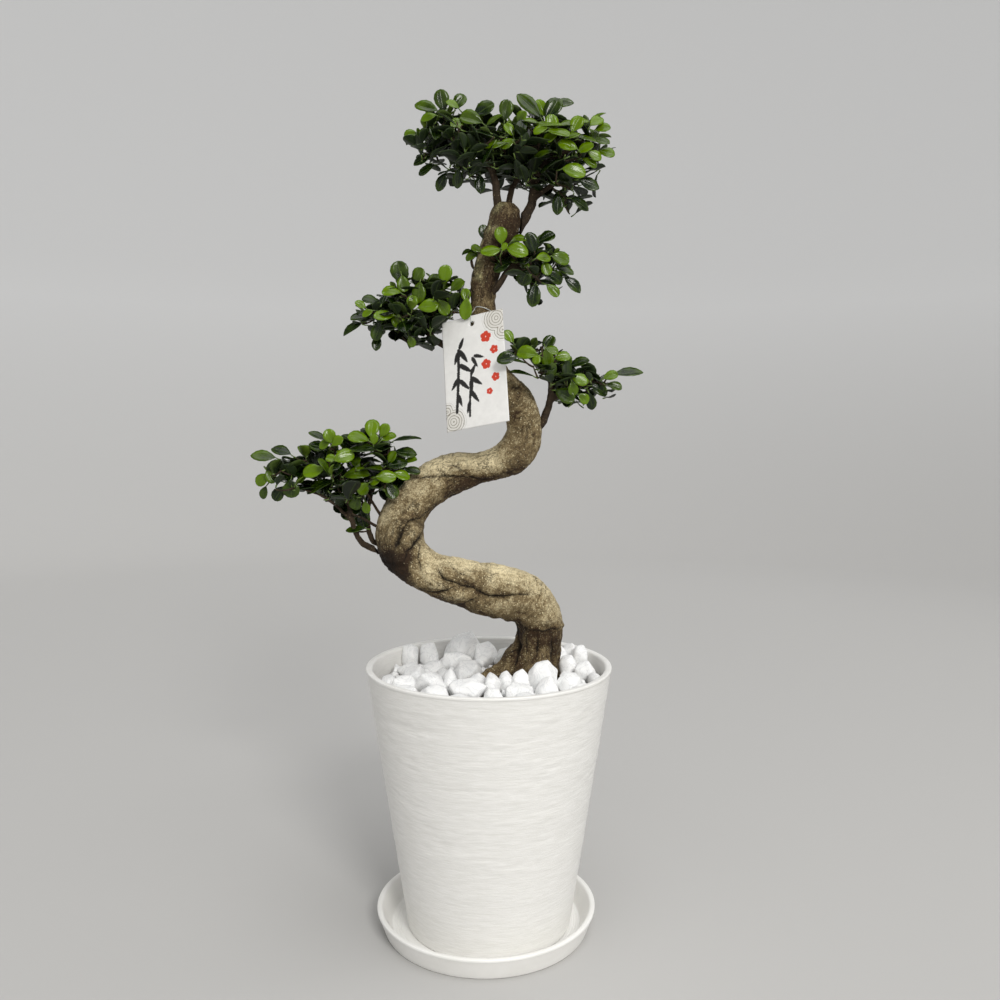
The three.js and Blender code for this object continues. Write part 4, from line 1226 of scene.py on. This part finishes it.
# Heads of leaves. Leaves that show best in the photograph are placed one by one:
# pixel, depth in mm, length, width, heading in the picture, how far it faces up, and tone.
# Headings and facings are in degrees. Tone is 0 for a dark old leaf and 1 for a bright young one.
# The outline is the head's edge in the photograph, in pixels.
heads = {
    "low_left": {
        "branches": ["limb_low_left", "limb_low_left_rear"],
        "spacing": 15, "seed": 3, "broad": (0.66, 0.82),
        "shoots": [                # bare shoots beside the limbs: pixel and depth in mm
            [(387, 530, 6), (376, 526, 2), (364, 519, -6), (352, 514, -12)],
            [(389, 522, 6), (380, 514, 2), (373, 503, -6), (366, 492, -12)],
        ],
        "outline": [
            (253, 452), (262, 449), (292, 447), (312, 443), (313, 434), (335, 433), (344, 439),
            (364, 433), (364, 424), (370, 419), (387, 426), (396, 437), (418, 436), (414, 451),
            (414, 459), (420, 467), (420, 476), (405, 487), (396, 498), (388, 504), (374, 493),
            (368, 513), (361, 526), (348, 532), (348, 519), (340, 511), (327, 498), (314, 493),
            (294, 498), (262, 497), (257, 485), (260, 465),
        ],
        "leaves": [
            (372, 429, -12, 18, 14, 85, 15, 0.95), (384, 431, -10, 14, 10, 60, 20, 0.85),
            (359, 438, -16, 20, 14, 165, 40, 0.75), (374, 440, -16, 10, 8, 80, 30, 1),
            (388, 438, -8, 15, 10, 20, 40, 0.8), (406, 438, -4, 25, 10, 12, 60, 0.15),
            (404, 452, -6, 22, 13, 0, 50, 0.1), (363, 448, -18, 26, 15, 175, 55, 0.15),
            (330, 437, -14, 14, 12, 110, 20, 0.8), (337, 442, -16, 13, 10, 30, 30, 0.7),
            (325, 444, -12, 12, 10, 200, 40, 0.6), (318, 436, -6, 18, 9, 155, 50, 0.15),
            (343, 457, -24, 19, 14, 20, 20, 0.85), (332, 459, -22, 11, 9, 170, 30, 0.7),
            (314, 471, -26, 20, 13, 190, 15, 0.8), (320, 447, -8, 20, 12, 165, 50, 0.1),
            (282, 451, -2, 20, 13, 160, 45, 0.1), (264, 456, -8, 23, 13, 172, 35, 0.3),
            (263, 479, -10, 15, 12, 215, 20, 0.55), (270, 476, -12, 14, 10, 300, 20, 0.5),
            (264, 492, -6, 13, 8, 250, 25, 0.2), (291, 488, -20, 17, 16, 270, 10, 0.2),
            (279, 493, -12, 15, 12, 240, 20, 0.1), (320, 485, -20, 30, 15, 195, 50, 0.15),
            (355, 474, -22, 24, 14, 10, 45, 0.4), (385, 477, -20, 19, 13, 0, 25, 0.85),
            (401, 475, -14, 16, 11, 345, 35, 0.8), (376, 481, -18, 11, 9, 200, 30, 0.9),
            (364, 488, -24, 13, 12, 230, 15, 0.6), (396, 464, -10, 20, 14, 10, 40, 0.1),
            (392, 458, -8, 13, 9, 60, 40, 0.6), (410, 461, -6, 13, 8, 10, 45, 0.6),
            (411, 471, -2, 16, 10, 350, 45, 0.2), (391, 490, -12, 16, 13, 300, 25, 0.2),
            (356, 502, -14, 14, 12, 250, 20, 0.3), (366, 507, -16, 12, 8, 280, 15, 0.7),
            (356, 529, -12, 18, 9, 185, 45, 0.15), (352, 512, -6, 20, 15, 200, 20, 0.05),
            (362, 517, -2, 20, 15, 280, 20, 0.05),
        ],
    },
    "mid_left": {
        "branches": ["limb_mid_left"],
        "spacing": 14.5, "seed": 5, "broad": (0.66, 0.84),
        "outline": [
            (391, 269), (400, 265), (409, 273), (415, 269), (426, 270), (428, 277), (440, 274),
            (447, 269), (454, 280), (465, 277), (471, 283), (473, 307), (468, 318), (462, 310),
            (451, 310), (442, 322), (441, 348), (424, 343), (404, 343), (408, 335), (387, 335),
            (376, 349), (370, 331), (372, 323), (354, 332), (349, 327), (354, 319), (362, 314),
            (355, 310), (359, 302), (372, 296), (383, 293), (392, 286),
        ],
        "leaves": [
            (400, 273, -14, 20, 17, 100, 10, 0.2), (403, 283, -18, 15, 12, 280, 20, 0.5),
            (418, 276, -8, 15, 12, 70, 30, 0.4), (445, 275, -14, 17, 13, 80, 10, 0.95),
            (392, 291, -22, 17, 12, 170, 40, 0.8), (419, 291, -18, 19, 13, 265, 15, 0.45),
            (427, 306, -26, 19, 13, 10, 15, 0.8), (443, 307, -22, 15, 12, 300, 20, 0.6),
            (457, 286, -6, 15, 12, 40, 30, 0.5), (466, 296, -16, 13, 9, 100, 30, 0.8),
            (466, 308, -22, 20, 12, 262, 10, 0.9), (385, 316, -26, 19, 12, 185, 30, 0.85),
            (361, 305, -14, 11, 8, 150, 30, 0.8), (368, 313, -16, 11, 8, 210, 30, 0.7),
            (371, 301, -8, 16, 12, 160, 40, 0.15), (353, 328, -4, 20, 11, 210, 45, 0.1),
            (378, 331, -16, 17, 12, 250, 20, 0.15), (377, 342, -10, 15, 9, 260, 30, 0.1),
            (397, 320, -20, 15, 12, 300, 25, 0.5), (411, 341, -12, 11, 8, 290, 20, 0.5),
            (361, 318, -4, 18, 12, 190, 45, 0.1),
        ],
    },
    "upper_left": {
        "branches": ["limb_upper_left"],
        "spacing": 60, "seed": 7, "broad": (0.60, 0.70),
        "outline": [
            (464, 224), (492, 222), (492, 264), (462, 264),
        ],
        "leaves": [
            (472, 256, -4, 12, 8, 205, 30, 0.4), (484, 233, -6, 14, 10, 100, 20, 0.1),
            (477, 249, -8, 11, 8, 150, 30, 0.5), (468, 252, 2, 11, 8, 190, 50, 0.2),
        ],
    },
    "upper_right": {
        "branches": ["limb_upper_right"],
        "spacing": 15, "seed": 9, "broad": (0.66, 0.84),
        "outline": [
            (496, 232), (501, 230), (507, 233), (520, 237), (538, 233), (547, 233), (554, 239),
            (551, 249), (558, 250), (567, 258), (568, 266), (575, 272), (581, 294), (568, 286),
            (559, 283), (559, 298), (548, 288), (540, 288), (539, 304), (528, 304), (529, 289),
            (519, 283), (517, 274), (496, 269), (495, 258), (484, 257), (485, 249), (495, 244),
        ],
        "leaves": [
            (501, 236, -20, 15, 12, 95, 10, 0.95), (516, 250, -26, 20, 15, 345, 15, 0.9),
            (492, 251, -24, 19, 12, 190, 25, 0.85), (504, 247, -28, 8, 6, 60, 30, 1),
            (518, 239, -14, 14, 10, 20, 45, 0.6), (532, 244, -8, 20, 14, 110, 15, 0.1),
            (546, 238, -4, 17, 12, 30, 35, 0.1), (543, 257, -22, 14, 11, 10, 20, 0.85),
            (560, 258, -14, 17, 14, 345, 15, 0.5), (546, 268, -20, 13, 10, 290, 20, 0.6),
            (503, 265, -16, 18, 13, 200, 30, 0.1), (525, 277, -18, 15, 14, 250, 15, 0.15),
            (534, 294, -14, 21, 13, 262, 10, 0.15), (552, 290, -16, 15, 10, 315, 20, 0.6),
            (554, 277, -10, 17, 13, 330, 25, 0.1), (572, 284, -4, 20, 12, 320, 35, 0.1),
            (565, 270, -6, 16, 11, 345, 40, 0.2),
        ],
    },
    "lower_right": {
        "branches": ["limb_lower_right"],
        "spacing": 15, "seed": 13, "broad": (0.62, 0.76),
        "outline": [
            (505, 332), (511, 332), (517, 342), (526, 340), (525, 336), (543, 339), (552, 339),
            (557, 350), (565, 353), (573, 359), (582, 358), (596, 371), (609, 371), (628, 369),
            (640, 371), (633, 376), (615, 379), (618, 391), (615, 397), (607, 393), (610, 402),
            (602, 403), (597, 398), (596, 412), (589, 404), (578, 400), (566, 402), (556, 400),
            (550, 393), (555, 389), (549, 381), (538, 377), (535, 365), (506, 364), (499, 359),
            (501, 354), (515, 354),
        ],
        "leaves": [
            (508, 358, -54, 18, 12, 188, 20, 0.15), (519, 362, -44, 20, 8, 170, 65, 0.15),
            (522, 374, -38, 21, 10, 172, 75, 0.1), (509, 337, -24, 13, 10, 130, 20, 0.9),
            (528, 353, -34, 19, 14, 170, 20, 0.75), (537, 359, -38, 9, 8, 240, 15, 0.95),
            (547, 357, -30, 16, 12, 280, 15, 0.5), (548, 344, -18, 17, 12, 60, 30, 0.15),
            (551, 350, -24, 13, 10, 350, 35, 0.6), (562, 357, -24, 14, 11, 10, 30, 0.75),
            (579, 363, -12, 18, 12, 15, 40, 0.15), (579, 379, -22, 16, 12, 340, 20, 0.7),
            (573, 388, -24, 13, 10, 280, 20, 0.5), (564, 395, -20, 20, 14, 330, 15, 0.2),
            (583, 398, -16, 12, 10, 320, 15, 0.7), (591, 401, -8, 17, 10, 285, 20, 0.1),
            (610, 376, -14, 14, 10, 20, 35, 0.7), (599, 389, -10, 17, 12, 335, 25, 0.1),
            (614, 386, -6, 14, 10, 345, 35, 0.3), (627, 373, -4, 29, 12, 8, 45, 0.2),
        ],
    },
    "top": {
        "branches": ["limb_top_left", "limb_top_middle", "limb_top_right"],
        "spacing": 15, "seed": 17, "broad": (0.50, 0.64),
        "outline": [
            (417, 103), (435, 94), (443, 92), (451, 98), (464, 98), (473, 105), (487, 102), (498, 105),
            (512, 106), (520, 105), (519, 94), (532, 96), (539, 102), (548, 101), (571, 102),
            (566, 114), (576, 119), (601, 117), (609, 130), (613, 141), (614, 164), (600, 173),
            (597, 187), (588, 208), (573, 210), (559, 213), (551, 203), (537, 203), (512, 194),
            (487, 192), (473, 193), (453, 193), (439, 188), (441, 171), (419, 172), (417, 160),
            (407, 142), (406, 131), (423, 122), (425, 112),
        ],
        "leaves": [
            (442, 101, -10, 19, 14, 100, 5, 0.2), (459, 102, -8, 16, 12, 60, 20, 0.25),
            (453, 105, -16, 13, 9, 150, 30, 0.7), (427, 107, -8, 24, 12, 157, 25, 0.3),
            (429, 117, -18, 15, 10, 190, 30, 0.6), (459, 123, -22, 15, 11, 200, 30, 0.65),
            (472, 119, -24, 21, 14, 160, 15, 0.4), (483, 110, -12, 21, 14, 30, 20, 0.15),
            (506, 111, -14, 18, 13, 80, 25, 0.25), (411, 134, -6, 12, 10, 185, 15, 0.6),
            (510, 130, -30, 13, 9, 120, 30, 0.7), (508, 143, -32, 14, 10, 210, 30, 0.65),
            (530, 106, -16, 32, 14, 131, 15, 0.25), (552, 110, -12, 24, 16, 60, 20, 0.15),
            (562, 104, -8, 20, 11, 15, 30, 0.2), (552, 124, -30, 16, 12, 100, 20, 0.75),
            (576, 125, -30, 16, 12, 60, 25, 0.8), (596, 121, -22, 15, 11, 40, 20, 0.75),
            (602, 128, -20, 14, 10, 10, 30, 0.7), (552, 136, -34, 16, 11, 200, 25, 0.8),
            (569, 145, -36, 17, 12, 160, 20, 0.85), (585, 149, -32, 15, 11, 20, 25, 0.8),
            (606, 152, -16, 15, 11, 350, 25, 0.6), (594, 155, -28, 14, 10, 330, 20, 0.75),
            (573, 170, -34, 21, 14, 350, 15, 0.8), (588, 184, -16, 20, 12, 335, 20, 0.1),
            (542, 109, -10, 17, 13, 120, 35, 0.7), (532, 122, -32, 17, 11, 170, 50, 0.55),
            (547, 123, -34, 24, 14, 5, 55, 0.6), (541, 130, -38, 13, 10, 200, 30, 0.75),
            (558, 133, -38, 20, 13, 350, 45, 0.65), (570, 136, -36, 18, 12, 20, 50, 0.55),
            (567, 125, -26, 18, 12, 10, 50, 0.45), (580, 122, -22, 17, 11, 20, 50, 0.55),
            (596, 117, -14, 17, 8, 30, 55, 0.6), (587, 138, -30, 16, 11, 350, 45, 0.4),
            (497, 145, -34, 20, 12, 195, 45, 0.5), (600, 140, -18, 17, 11, 345, 50, 0.35),
            (589, 161, -28, 15, 10, 335, 40, 0.5), (545, 152, -34, 18, 9, 185, 50, 0.3),
            (494, 121, -20, 16, 11, 30, 50, 0.4), (521, 118, -20, 13, 10, 60, 40, 0.5),
            (558, 203, -10, 19, 11, 268, 15, 0.1), (580, 203, -8, 19, 11, 330, 25, 0.1),
            (442, 181, -8, 18, 10, 245, 20, 0.1), (458, 178, -10, 17, 10, 265, 20, 0.1),
            (480, 183, -12, 17, 10, 270, 20, 0.1), (423, 160, -4, 18, 10, 205, 35, 0.1),
            (427, 169, -2, 17, 10, 210, 35, 0.1),
        ],
    },
}

def leafMaterial(name, old, young, roughness):
    look = Finish(name, specular=0.34)
    given = look.axes(look.attribute("leafPlace"))
    along, tone = given["Y"], given["Z"]
    middle = look.size(given["X"])
    grain = look.grain(0.009, 0.0012, 0.3)
    cloud = grain["Cloud"]
    shown = look.plus(tone, look.span(cloud, 0.3, 0.7, -0.12, 0.12))
    shown = look.plus(shown, look.span(look.plus(middle, along), 0.2, 1.5, -0.14, 0.12))
    tint = look.between(shown, 0.1, 0.9, old, young)
    # painted shade: leaves whose tone is below 0 go nearly black
    tint = look.mix(look.span(tone, -0.5, -0.1, 0.75, 0.0), tint, colour(6, 9, 4))
    tint = look.mix(look.span(middle, 0.03, 0.10, 0.18, 0.0), tint, colour(110, 134, 46))
    slant = look.minus(along, look.times(middle, 0.28))
    veins = look.math("SINE", look.times(slant, 56.0))
    tint = look.mix(look.span(veins, 0.7, 1.0, 0.0, 0.06), tint, colour(96, 118, 48))
    look.tint(look.mix(look.span(middle, 0.92, 1.0, 0.0, 0.3), tint, colour(94, 118, 54)))
    look.rough(look.span(cloud, 0.3, 0.7, *roughness))
    height = look.minus(grain["Height"], look.span(veins, 0.4, 1.0, 0.0, 0.14))
    look.bump(look.minus(height, look.span(middle, 0.0, 0.09, 0.9, 0.0)), 0.0003, 0.45)
    return look.material


leafMaterials = [
    leafMaterial("leafTop", (12, 29, 2), (98, 128, 0), (0.15, 0.27)),
    leafMaterial("leafUnder", (28, 44, 15), (98, 122, 26), (0.45, 0.6)),
    grainyMaterial("leafStalk", 0.45, (0.004, 0.0008), 0.4, (62, 82, 32), (104, 126, 54)),
]


def shootsOn(node, spacing, inside, rng):
    # spots spread evenly over a head's solid, some mm inside its skin, and the way out of it
    data = cadNodes[node].data
    data.calc_loop_triangles()
    corners = np.array([[data.vertices[v].co for v in t.vertices] for t in data.loop_triangles], float)
    first, second = corners[:, 1] - corners[:, 0], corners[:, 2] - corners[:, 0]
    spread = np.cross(first, second)
    area = np.linalg.norm(spread, axis=1)
    picks = rng.choice(len(area), shoot["tries"], p=area / area.sum())
    shares = rng.random((shoot["tries"], 2))
    over = shares.sum(1) > 1
    shares[over] = 1 - shares[over]
    places = corners[picks, 0] + shares[:, :1] * first[picks] + shares[:, 1:] * second[picks]
    hanging, leftOut = shoot["hanging"]
    kept = []
    for place, out in zip(places, spread[picks] / area[picks, None]):
        if out[2] < hanging and rng.random() < leftOut:
            continue
        spot = place - out * inside * mm
        if all(np.linalg.norm(spot - other) > spacing * mm for other, _ in kept):
            kept.append((spot, out))
    return kept


def growTwigs(name, limbs, targets, shoots):
    # each target is reached from the nearest limb or twig, the nearest targets first
    nodes = np.vstack([pointsOf(bpy.data.objects[limb])[::9] for limb in limbs])
    reach = [np.linalg.norm(nodes - target, axis=1).min() for target in targets]
    heap = Heap()
    for index in np.argsort(reach):
        target = targets[index]
        away = target - nodes
        cost = np.linalg.norm(away, axis=1) + twig["down"] * np.maximum(-away[:, 2], 0)
        start = nodes[int(np.argmin(cost))]
        gap = np.linalg.norm(target - start)
        if gap < twig["shortest"] * mm:
            continue
        wander = np.array(noise.noise_vector(Vector(target) * 90)) * twig["wander"]
        bend = (start + target) / 2 + (wander - (0, 0, twig["sag"])) * gap
        line = bowed(start, bend, target, 6)
        heap.add(*tube(line, np.linspace(twig["base"], twig["tip"], 6) * mm, 6))
        nodes = np.vstack([nodes, line[2:]])
    for spots in shoots:
        line = curveThrough([atPixel(*spot) for spot in spots], 14)
        heap.add(*tube(line, np.linspace(*twig["shootRadii"], 14) * mm, 8))
    finished(heap.build(name, [twigBark]), "branch_bark")


def outsideBy(points, outline):
    # how many pixels each point lies outside a closed outline, 0 for a point inside it
    gap, _ = lineGap(points, np.vstack([outline, outline[:1]]))
    inside = np.zeros(len(points), bool)
    for (u, v), (nextU, nextV) in zip(outline, np.roll(outline, -1, axis=0)):
        crosses = (v > points[:, 1]) != (nextV > points[:, 1])
        if crosses.any():
            edge = u + (points[:, 1] - v) / (nextV - v) * (nextU - u)
            inside ^= crosses & (points[:, 0] < edge)
    return np.where(inside, 0, gap)


def placeLeaves(heap, leaves, rng):
    # the leaves that are placed one by one; gives the spots that twigs have to reach
    targets = []
    for u, v, depth, length, width, heading, facing, tone in leaves:
        turn, up, lean = math.radians(heading), math.radians(facing), rng.uniform(-0.25, 0.25)
        flat = math.cos(lean)
        ahead = np.array((math.cos(turn) * flat, -math.sin(lean), math.sin(turn) * flat))
        normal = np.array((0, -math.cos(up), math.sin(up)))
        base = np.array(atPixel(u, v, depth)) - ahead * length / 2 * mm
        addLeaf(heap, base, ahead, normal, length * leaf["swell"], width * leaf["swell"], tone, rng)
        root = base + unit(np.array((0, 0.5, -0.3)) - ahead * 0.8) * leaf["stalk"] * mm
        addStalk(heap, root, base + ahead * 0.6 * mm, 0.65, tone)
        targets.append(root)
    return targets


def insideOutline(base, ahead, length, beam, outline, centre):
    # the leaf's base moved until the leaf is inside the outline, and how far it still stands out
    for _ in range(2):
        middle = base + ahead * length / 2 * mm
        tip = base + ahead * length * mm
        excess = outsideBy(toPixel([tip, middle + beam, middle - beam]), outline).max()
        if excess < shoot["standsOut"][0]:
            break
        base = base + unit((np.array(centre) - base) * (1, 0, 1)) * min(excess, 3) * mm
    return base, middle, excess


def growShoot(heap, head, fronts, spot, out, rng):
    # a shoot whose oldest leaves lie flat and whose youngest stand up
    outline, centre = head["outline"], head["centre"]
    inner = out is None
    out = unit(rng.normal(size=3)) if inner else out
    scatter = shoot["random"]
    axis = unit(shoot["outward"] * out + (0, 0, shoot["upward"]) + rng.normal(0, scatter, 3))
    across = unit(np.cross(axis, rng.normal(size=3)))
    over = np.cross(axis, across)
    count = rng.integers(*shoot["leaves"])
    bright = 0 if inner else rng.random() ** 2
    # painted shade for leaves deep inside the head, and for outer leaves below its middle
    lower = min(1, max(0, centre.z - spot[2]) / (shoot["shadeDepth"] * mm))
    shade = shoot["shaded"] * (1 if inner else 0.75 * lower)
    kept = 0
    for k in range(count):
        age = 1 - k / (count - 1)
        grown = {key: shoot[key][0] + shoot[key][1] * age for key in ("opening", "below", "stalks")}
        turn = k * leaf["golden"] + rng.uniform(-0.3, 0.3)
        radial = across * math.cos(turn) + over * math.sin(turn)
        opened = math.radians(grown["opening"] + rng.uniform(-10, 10))
        ahead = axis * math.cos(opened) + radial * math.sin(opened)
        length = shoot["lengths"][0] + shoot["lengths"][1] * min(1, age * 1.6)
        length *= rng.uniform(0.88, 1.12)
        width = length * rng.uniform(*head["broad"])
        start = spot - axis * grown["below"] * mm
        base = start + ahead * leaf["stalk"] * grown["stalks"] * mm
        beam = unit(np.cross(ahead, axis)) * width * 0.4 * mm
        base, middle, excess = insideOutline(base, ahead, length, beam, outline, centre)
        if excess > shoot["standsOut"][1]:
            continue
        u, v = toPixel(middle)
        beside = np.hypot(fronts[:, 0] - u, fronts[:, 1] - v) < shoot["clear"][0] * fronts[:, 3]
        if np.any(beside & (middle[1] / mm < fronts[:, 2] + shoot["clear"][1])):
            continue
        tone = (1 - age) ** 1.6 * (0.25 + 0.75 * bright) + rng.uniform(-0.05, 0.08)
        tone = np.clip(tone, 0, 1) - shade
        normal = 0.45 * axis + (0, 0, 1.2) + rng.normal(0, scatter, 3)
        addLeaf(heap, base, ahead, normal, length, width, tone, rng)
        addStalk(heap, start, base + ahead * 0.6 * mm, 0.6, tone)
        kept += 1
    return [spot - axis * shoot["foot"] * mm] if kept > 1 else []


def addHead(label, head):
    rng = np.random.default_rng(head["seed"])
    head["outline"] = np.array(head["outline"], float)
    head["centre"] = atPixel(*head["outline"].mean(0), 0)
    heap, node, spacing = Heap(), "foliage_" + label, head["spacing"]
    targets = placeLeaves(heap, head["leaves"], rng)
    fronts = np.array([row[:4] for row in head["leaves"]])
    shoots = shootsOn(node, spacing, shoot["inside"], rng)
    deep = shootsOn(node, spacing * shoot["sparser"], shoot["deeper"], rng)
    for spot, out in shoots + [(spot, None) for spot, _ in deep]:
        if outsideBy(toPixel([spot]), head["outline"])[0] == 0:
            targets += growShoot(heap, head, fronts, spot, out, rng)
    growTwigs("twigs_" + label, head["branches"], targets, head.get("shoots", []))
    finished(heap.build("leaves_" + label, leafMaterials, "leafPlace"), "leaf", node)


noise.seed_set(twig["seed"])
for label, head in heads.items():
    addHead(label, head)
print("leaves grown")

# Card with a plain painted motif, and its thread

card = {
    "middle": (-13, -32, 560.4),   # mm
    "turn": (-12, -9.5, -25),      # degrees about X, Y and Z
    "thick": 0.5,
    "columns": 67,
    "rows": 111,
    "bare": -9,                    # mm, the depth in an ink where there is none
    "holeDrop": 8,
    "hole": 2.5,
    "bow": 0.9,                    # mm, how far the middle stands forward
    "stems": [                     # black stems: points in mm from the card's middle, and width
        ([(-21, -38), (-19, -20), (-17, 2), (-16, 24)], 3.4),
        ([(-7, -44), (-6, -26), (-3.5, -4)], 2.6),
    ],
    "strokes": [                   # black leaf strokes: start, length, heading in degrees, width
        (-15, 23, 17, -58, 4.4), (-16, 22, 14, -112, 4), (-16, 9, 18, -36, 4.4),
        (-17, -4, 15, -128, 4), (-17, -6, 17, -46, 4.2), (-19, -20, 14, -72, 3.8),
        (-4, -6, 16, -38, 4.2), (-4, -8, 14, -88, 4), (-5, -19, 16, -56, 4), (-6, -29, 13, -108, 3.6),
        (-15, 24, 13, 64, 3.6), (-4, -4, 13, 62, 3.6), (-2, 14, 14, -62, 3.4), (0, 15, 13, -18, 3.2),
    ],
    "blossoms": [(14, 31, 6), (22, 17, 4.6), (13, 4, 5.4), (22, -10, 4.6), (15, -23, 3.6)],
    "clouds": [(26, 47, 15), (32, 34, 11), (-25, -46, 14), (-32, -35, 9)],
    "ring": 2.6,                   # mm between the lines of a cloud
    "thread": 0.32,                # mm, radius
    "seat": 1.7,                   # mm, how far above the hole's middle the thread lies in it
    # the thread's way up the card's front and, last, back down behind it: mm right, back and up
    # from its seat in the hole; and its turn round the trunk: degrees and mm up
    "threadFront": [(0, 0, 0), (0.1, -1.2, 1), (0, -1.5, 5.5), (0.2, -0.7, 8.4)],
    "threadBack": [(-1.4, 4.8, 4), (-0.4, 1.9, 0.6), (0, 0, 0)],
    "trunkRow": 25,                # row of the trunk's line whose middle the turn goes round
    "threadRound": [
        (233, 620.5), (243, 623.2), (268, 622.8), (290, 621), (308, 619), (350, 618), (40, 619),
        (90, 620), (140, 620), (190, 618),
    ],
}

cardTurn = np.array(Euler([math.radians(a) for a in card["turn"]]).to_matrix())
cardPoints = (pointsOf(cadNodes["tag"]) / mm - card["middle"]) @ cardTurn


def cardPlace(points):
    # points on the card, in mm from its middle, as they lie in the scene
    return (np.asarray(points) @ cardTurn.T + card["middle"]) * mm


def strokeDepth(points, a, b, width, pointed):
    # how far inside a brush stroke each point lies, in mm; below 0 outside it
    along = b - a
    share = np.clip((points - a) @ along / (along @ along), 0, 1)
    gap = np.linalg.norm(points - a - share[:, None] * along, axis=1)
    if pointed:
        width = width * np.sin(math.pi * share ** 0.62) ** 0.75
    return width / 2 - gap


def cardInks(points):
    # black, red and gold as depths inside their strokes
    black, red, gold = [], [], []
    for path, width in card["stems"]:
        curve = curveThrough(path, 7)
        for a, b in zip(curve, curve[1:]):
            short = (b - a) * 0.06
            black.append(strokeDepth(points, a + short, b - short, width, False))
    for x, z, length, heading, width in card["strokes"]:
        turn = math.radians(heading)
        reach = length * np.array((math.cos(turn), math.sin(turn)))
        black.append(strokeDepth(points, np.array((x, z)), reach + (x, z), width * 1.2, True))
    for x, z, radius in card["blossoms"]:
        for k in range(5):
            turn = x + k * math.tau / 5
            petal = (x + 0.52 * radius * math.cos(turn), z + 0.52 * radius * math.sin(turn))
            red.append(0.46 * radius - np.hypot(*(points - petal).T))
    for x, z, radius in card["clouds"]:
        gold.append(radius - np.hypot(*(points - (x, z)).T))
    return np.stack([np.maximum(np.max(depths, axis=0), card["bare"]) for depths in (black, red, gold)], 1)


def cardMaterial():
    look = Finish("paperCard")
    given = look.axes(look.attribute("ink"))
    grain = look.grain(0.006, 0.0007, 0.3)
    ragged = look.span(grain["Grain"], 0.3, 0.7, -0.45, 0.35)
    tint = look.between(grain["Cloud"], 0.3, 0.7, (240, 239, 236), (232, 231, 228))
    cloud = look.plus(given["Z"], look.span(grain["Cloud"], 0.3, 0.7, -0.5, 0.5))
    tint = look.mix(look.span(cloud, 0.0, 6.0, 0.0, 0.4), tint, colour(196, 190, 176))
    line = look.math("PINGPONG", cloud, card["ring"] / 2)
    drawn = look.times(look.span(line, 0.12, 0.42, 0.85, 0.0), look.span(cloud, 0.0, 0.3))
    tint = look.mix(drawn, tint, colour(104, 94, 70))
    for axis, ink, high in (("Y", (206, 62, 38), 0.25), ("X", (30, 28, 27), 0.3)):
        covered = look.span(look.plus(given[axis], ragged), -0.1, high)
        tint = look.mix(covered, tint, colour(*ink))
    look.tint(tint)
    look.bump(grain["Height"], 0.0001, 0.3)
    return look.material


def addCard():
    width, height = np.ptp(cardPoints[:, 0]), np.ptp(cardPoints[:, 2])
    columns, rows = card["columns"], card["rows"]
    grid = np.meshgrid(np.linspace(-width / 2, width / 2, columns),
                       np.linspace(-height / 2, height / 2, rows))
    hole = np.array((0, height / 2 - card["holeDrop"]))
    away = np.stack([part.ravel() for part in grid], 1) - hole
    gap = np.linalg.norm(away, axis=1)

    # the grid is drawn to the rim of the hole, and what lies inside is left out
    dropped = gap <= card["hole"] - 0.45
    onRim = (gap < card["hole"] + 0.9) & ~dropped
    x, z = (hole + away * np.where(onRim, card["hole"] / np.maximum(gap, 1e-6), 1)[:, None]).T
    bow = -card["bow"] * (1 - (2 * x / width) ** 2) + 0.5 * card["bow"]
    count = len(x)
    points = np.vstack([np.stack([x, bow + y, z], 1) for y in (-card["thick"] / 2, card["thick"] / 2)])
    faces, sides = [], set()
    for a in np.arange(count).reshape(rows, columns)[:-1, :-1].ravel().tolist():
        quad = (a, a + 1, a + columns + 1, a + columns)
        if dropped[list(quad)].any():
            continue
        faces += [quad, tuple(k + count for k in reversed(quad))]
        sides.update(zip(quad, quad[1:] + quad[:1]))
    for one, two in sorted(sides):
        if (two, one) not in sides:
            faces.append((two, one, one + count, two + count))
    piece = addMesh("cardSheet", cardPlace(points), faces, [cardMaterial()])
    inks = cardInks(points[:, [0, 2]])
    inks[count:] = card["bare"]
    setValues(piece, "ink", inks)
    loose = bmesh.new()
    loose.from_mesh(piece.data)
    bmesh.ops.delete(loose, geom=[v for v in loose.verts if not v.link_faces], context="VERTS")
    loose.to_mesh(piece.data)
    loose.free()
    finished(piece, "card", "tag")


def addThread():
    colours = (196, 202, 200), (226, 230, 228)
    material = grainyMaterial("clearThread", 0.2, (0.004, 0.0006), 0.4, *colours)
    seat = np.array((0, 0, cardPoints[:, 2].max() - card["holeDrop"] + card["seat"]))
    front, back = (cardPlace(seat + card[key]) / mm for key in ("threadFront", "threadBack"))
    bark = pointsOf(bpy.data.objects["trunkBark"]) / mm
    middle = np.array(trunk["line"][card["trunkRow"]][:2], float)
    ring = []
    for degrees, high in card["threadRound"]:
        out = np.array((math.cos(math.radians(degrees)), math.sin(math.radians(degrees))))
        level = bark[np.abs(bark[:, 2] - high) < 1.5, :2] - middle
        reach = np.linalg.norm(level, axis=1)
        reach = reach[level @ out > 0.95 * reach].max() + card["thread"]
        ring.append((*(middle + out * reach), high))
    line = curveThrough(np.vstack([front, ring, back]), 160)
    heap = Heap()
    heap.add(*tube(line * mm, card["thread"] * mm, 8))
    finished(heap.build("cardThread", [material]), "thread", "tag_tie")


addCard()
addThread()
print("card hung")
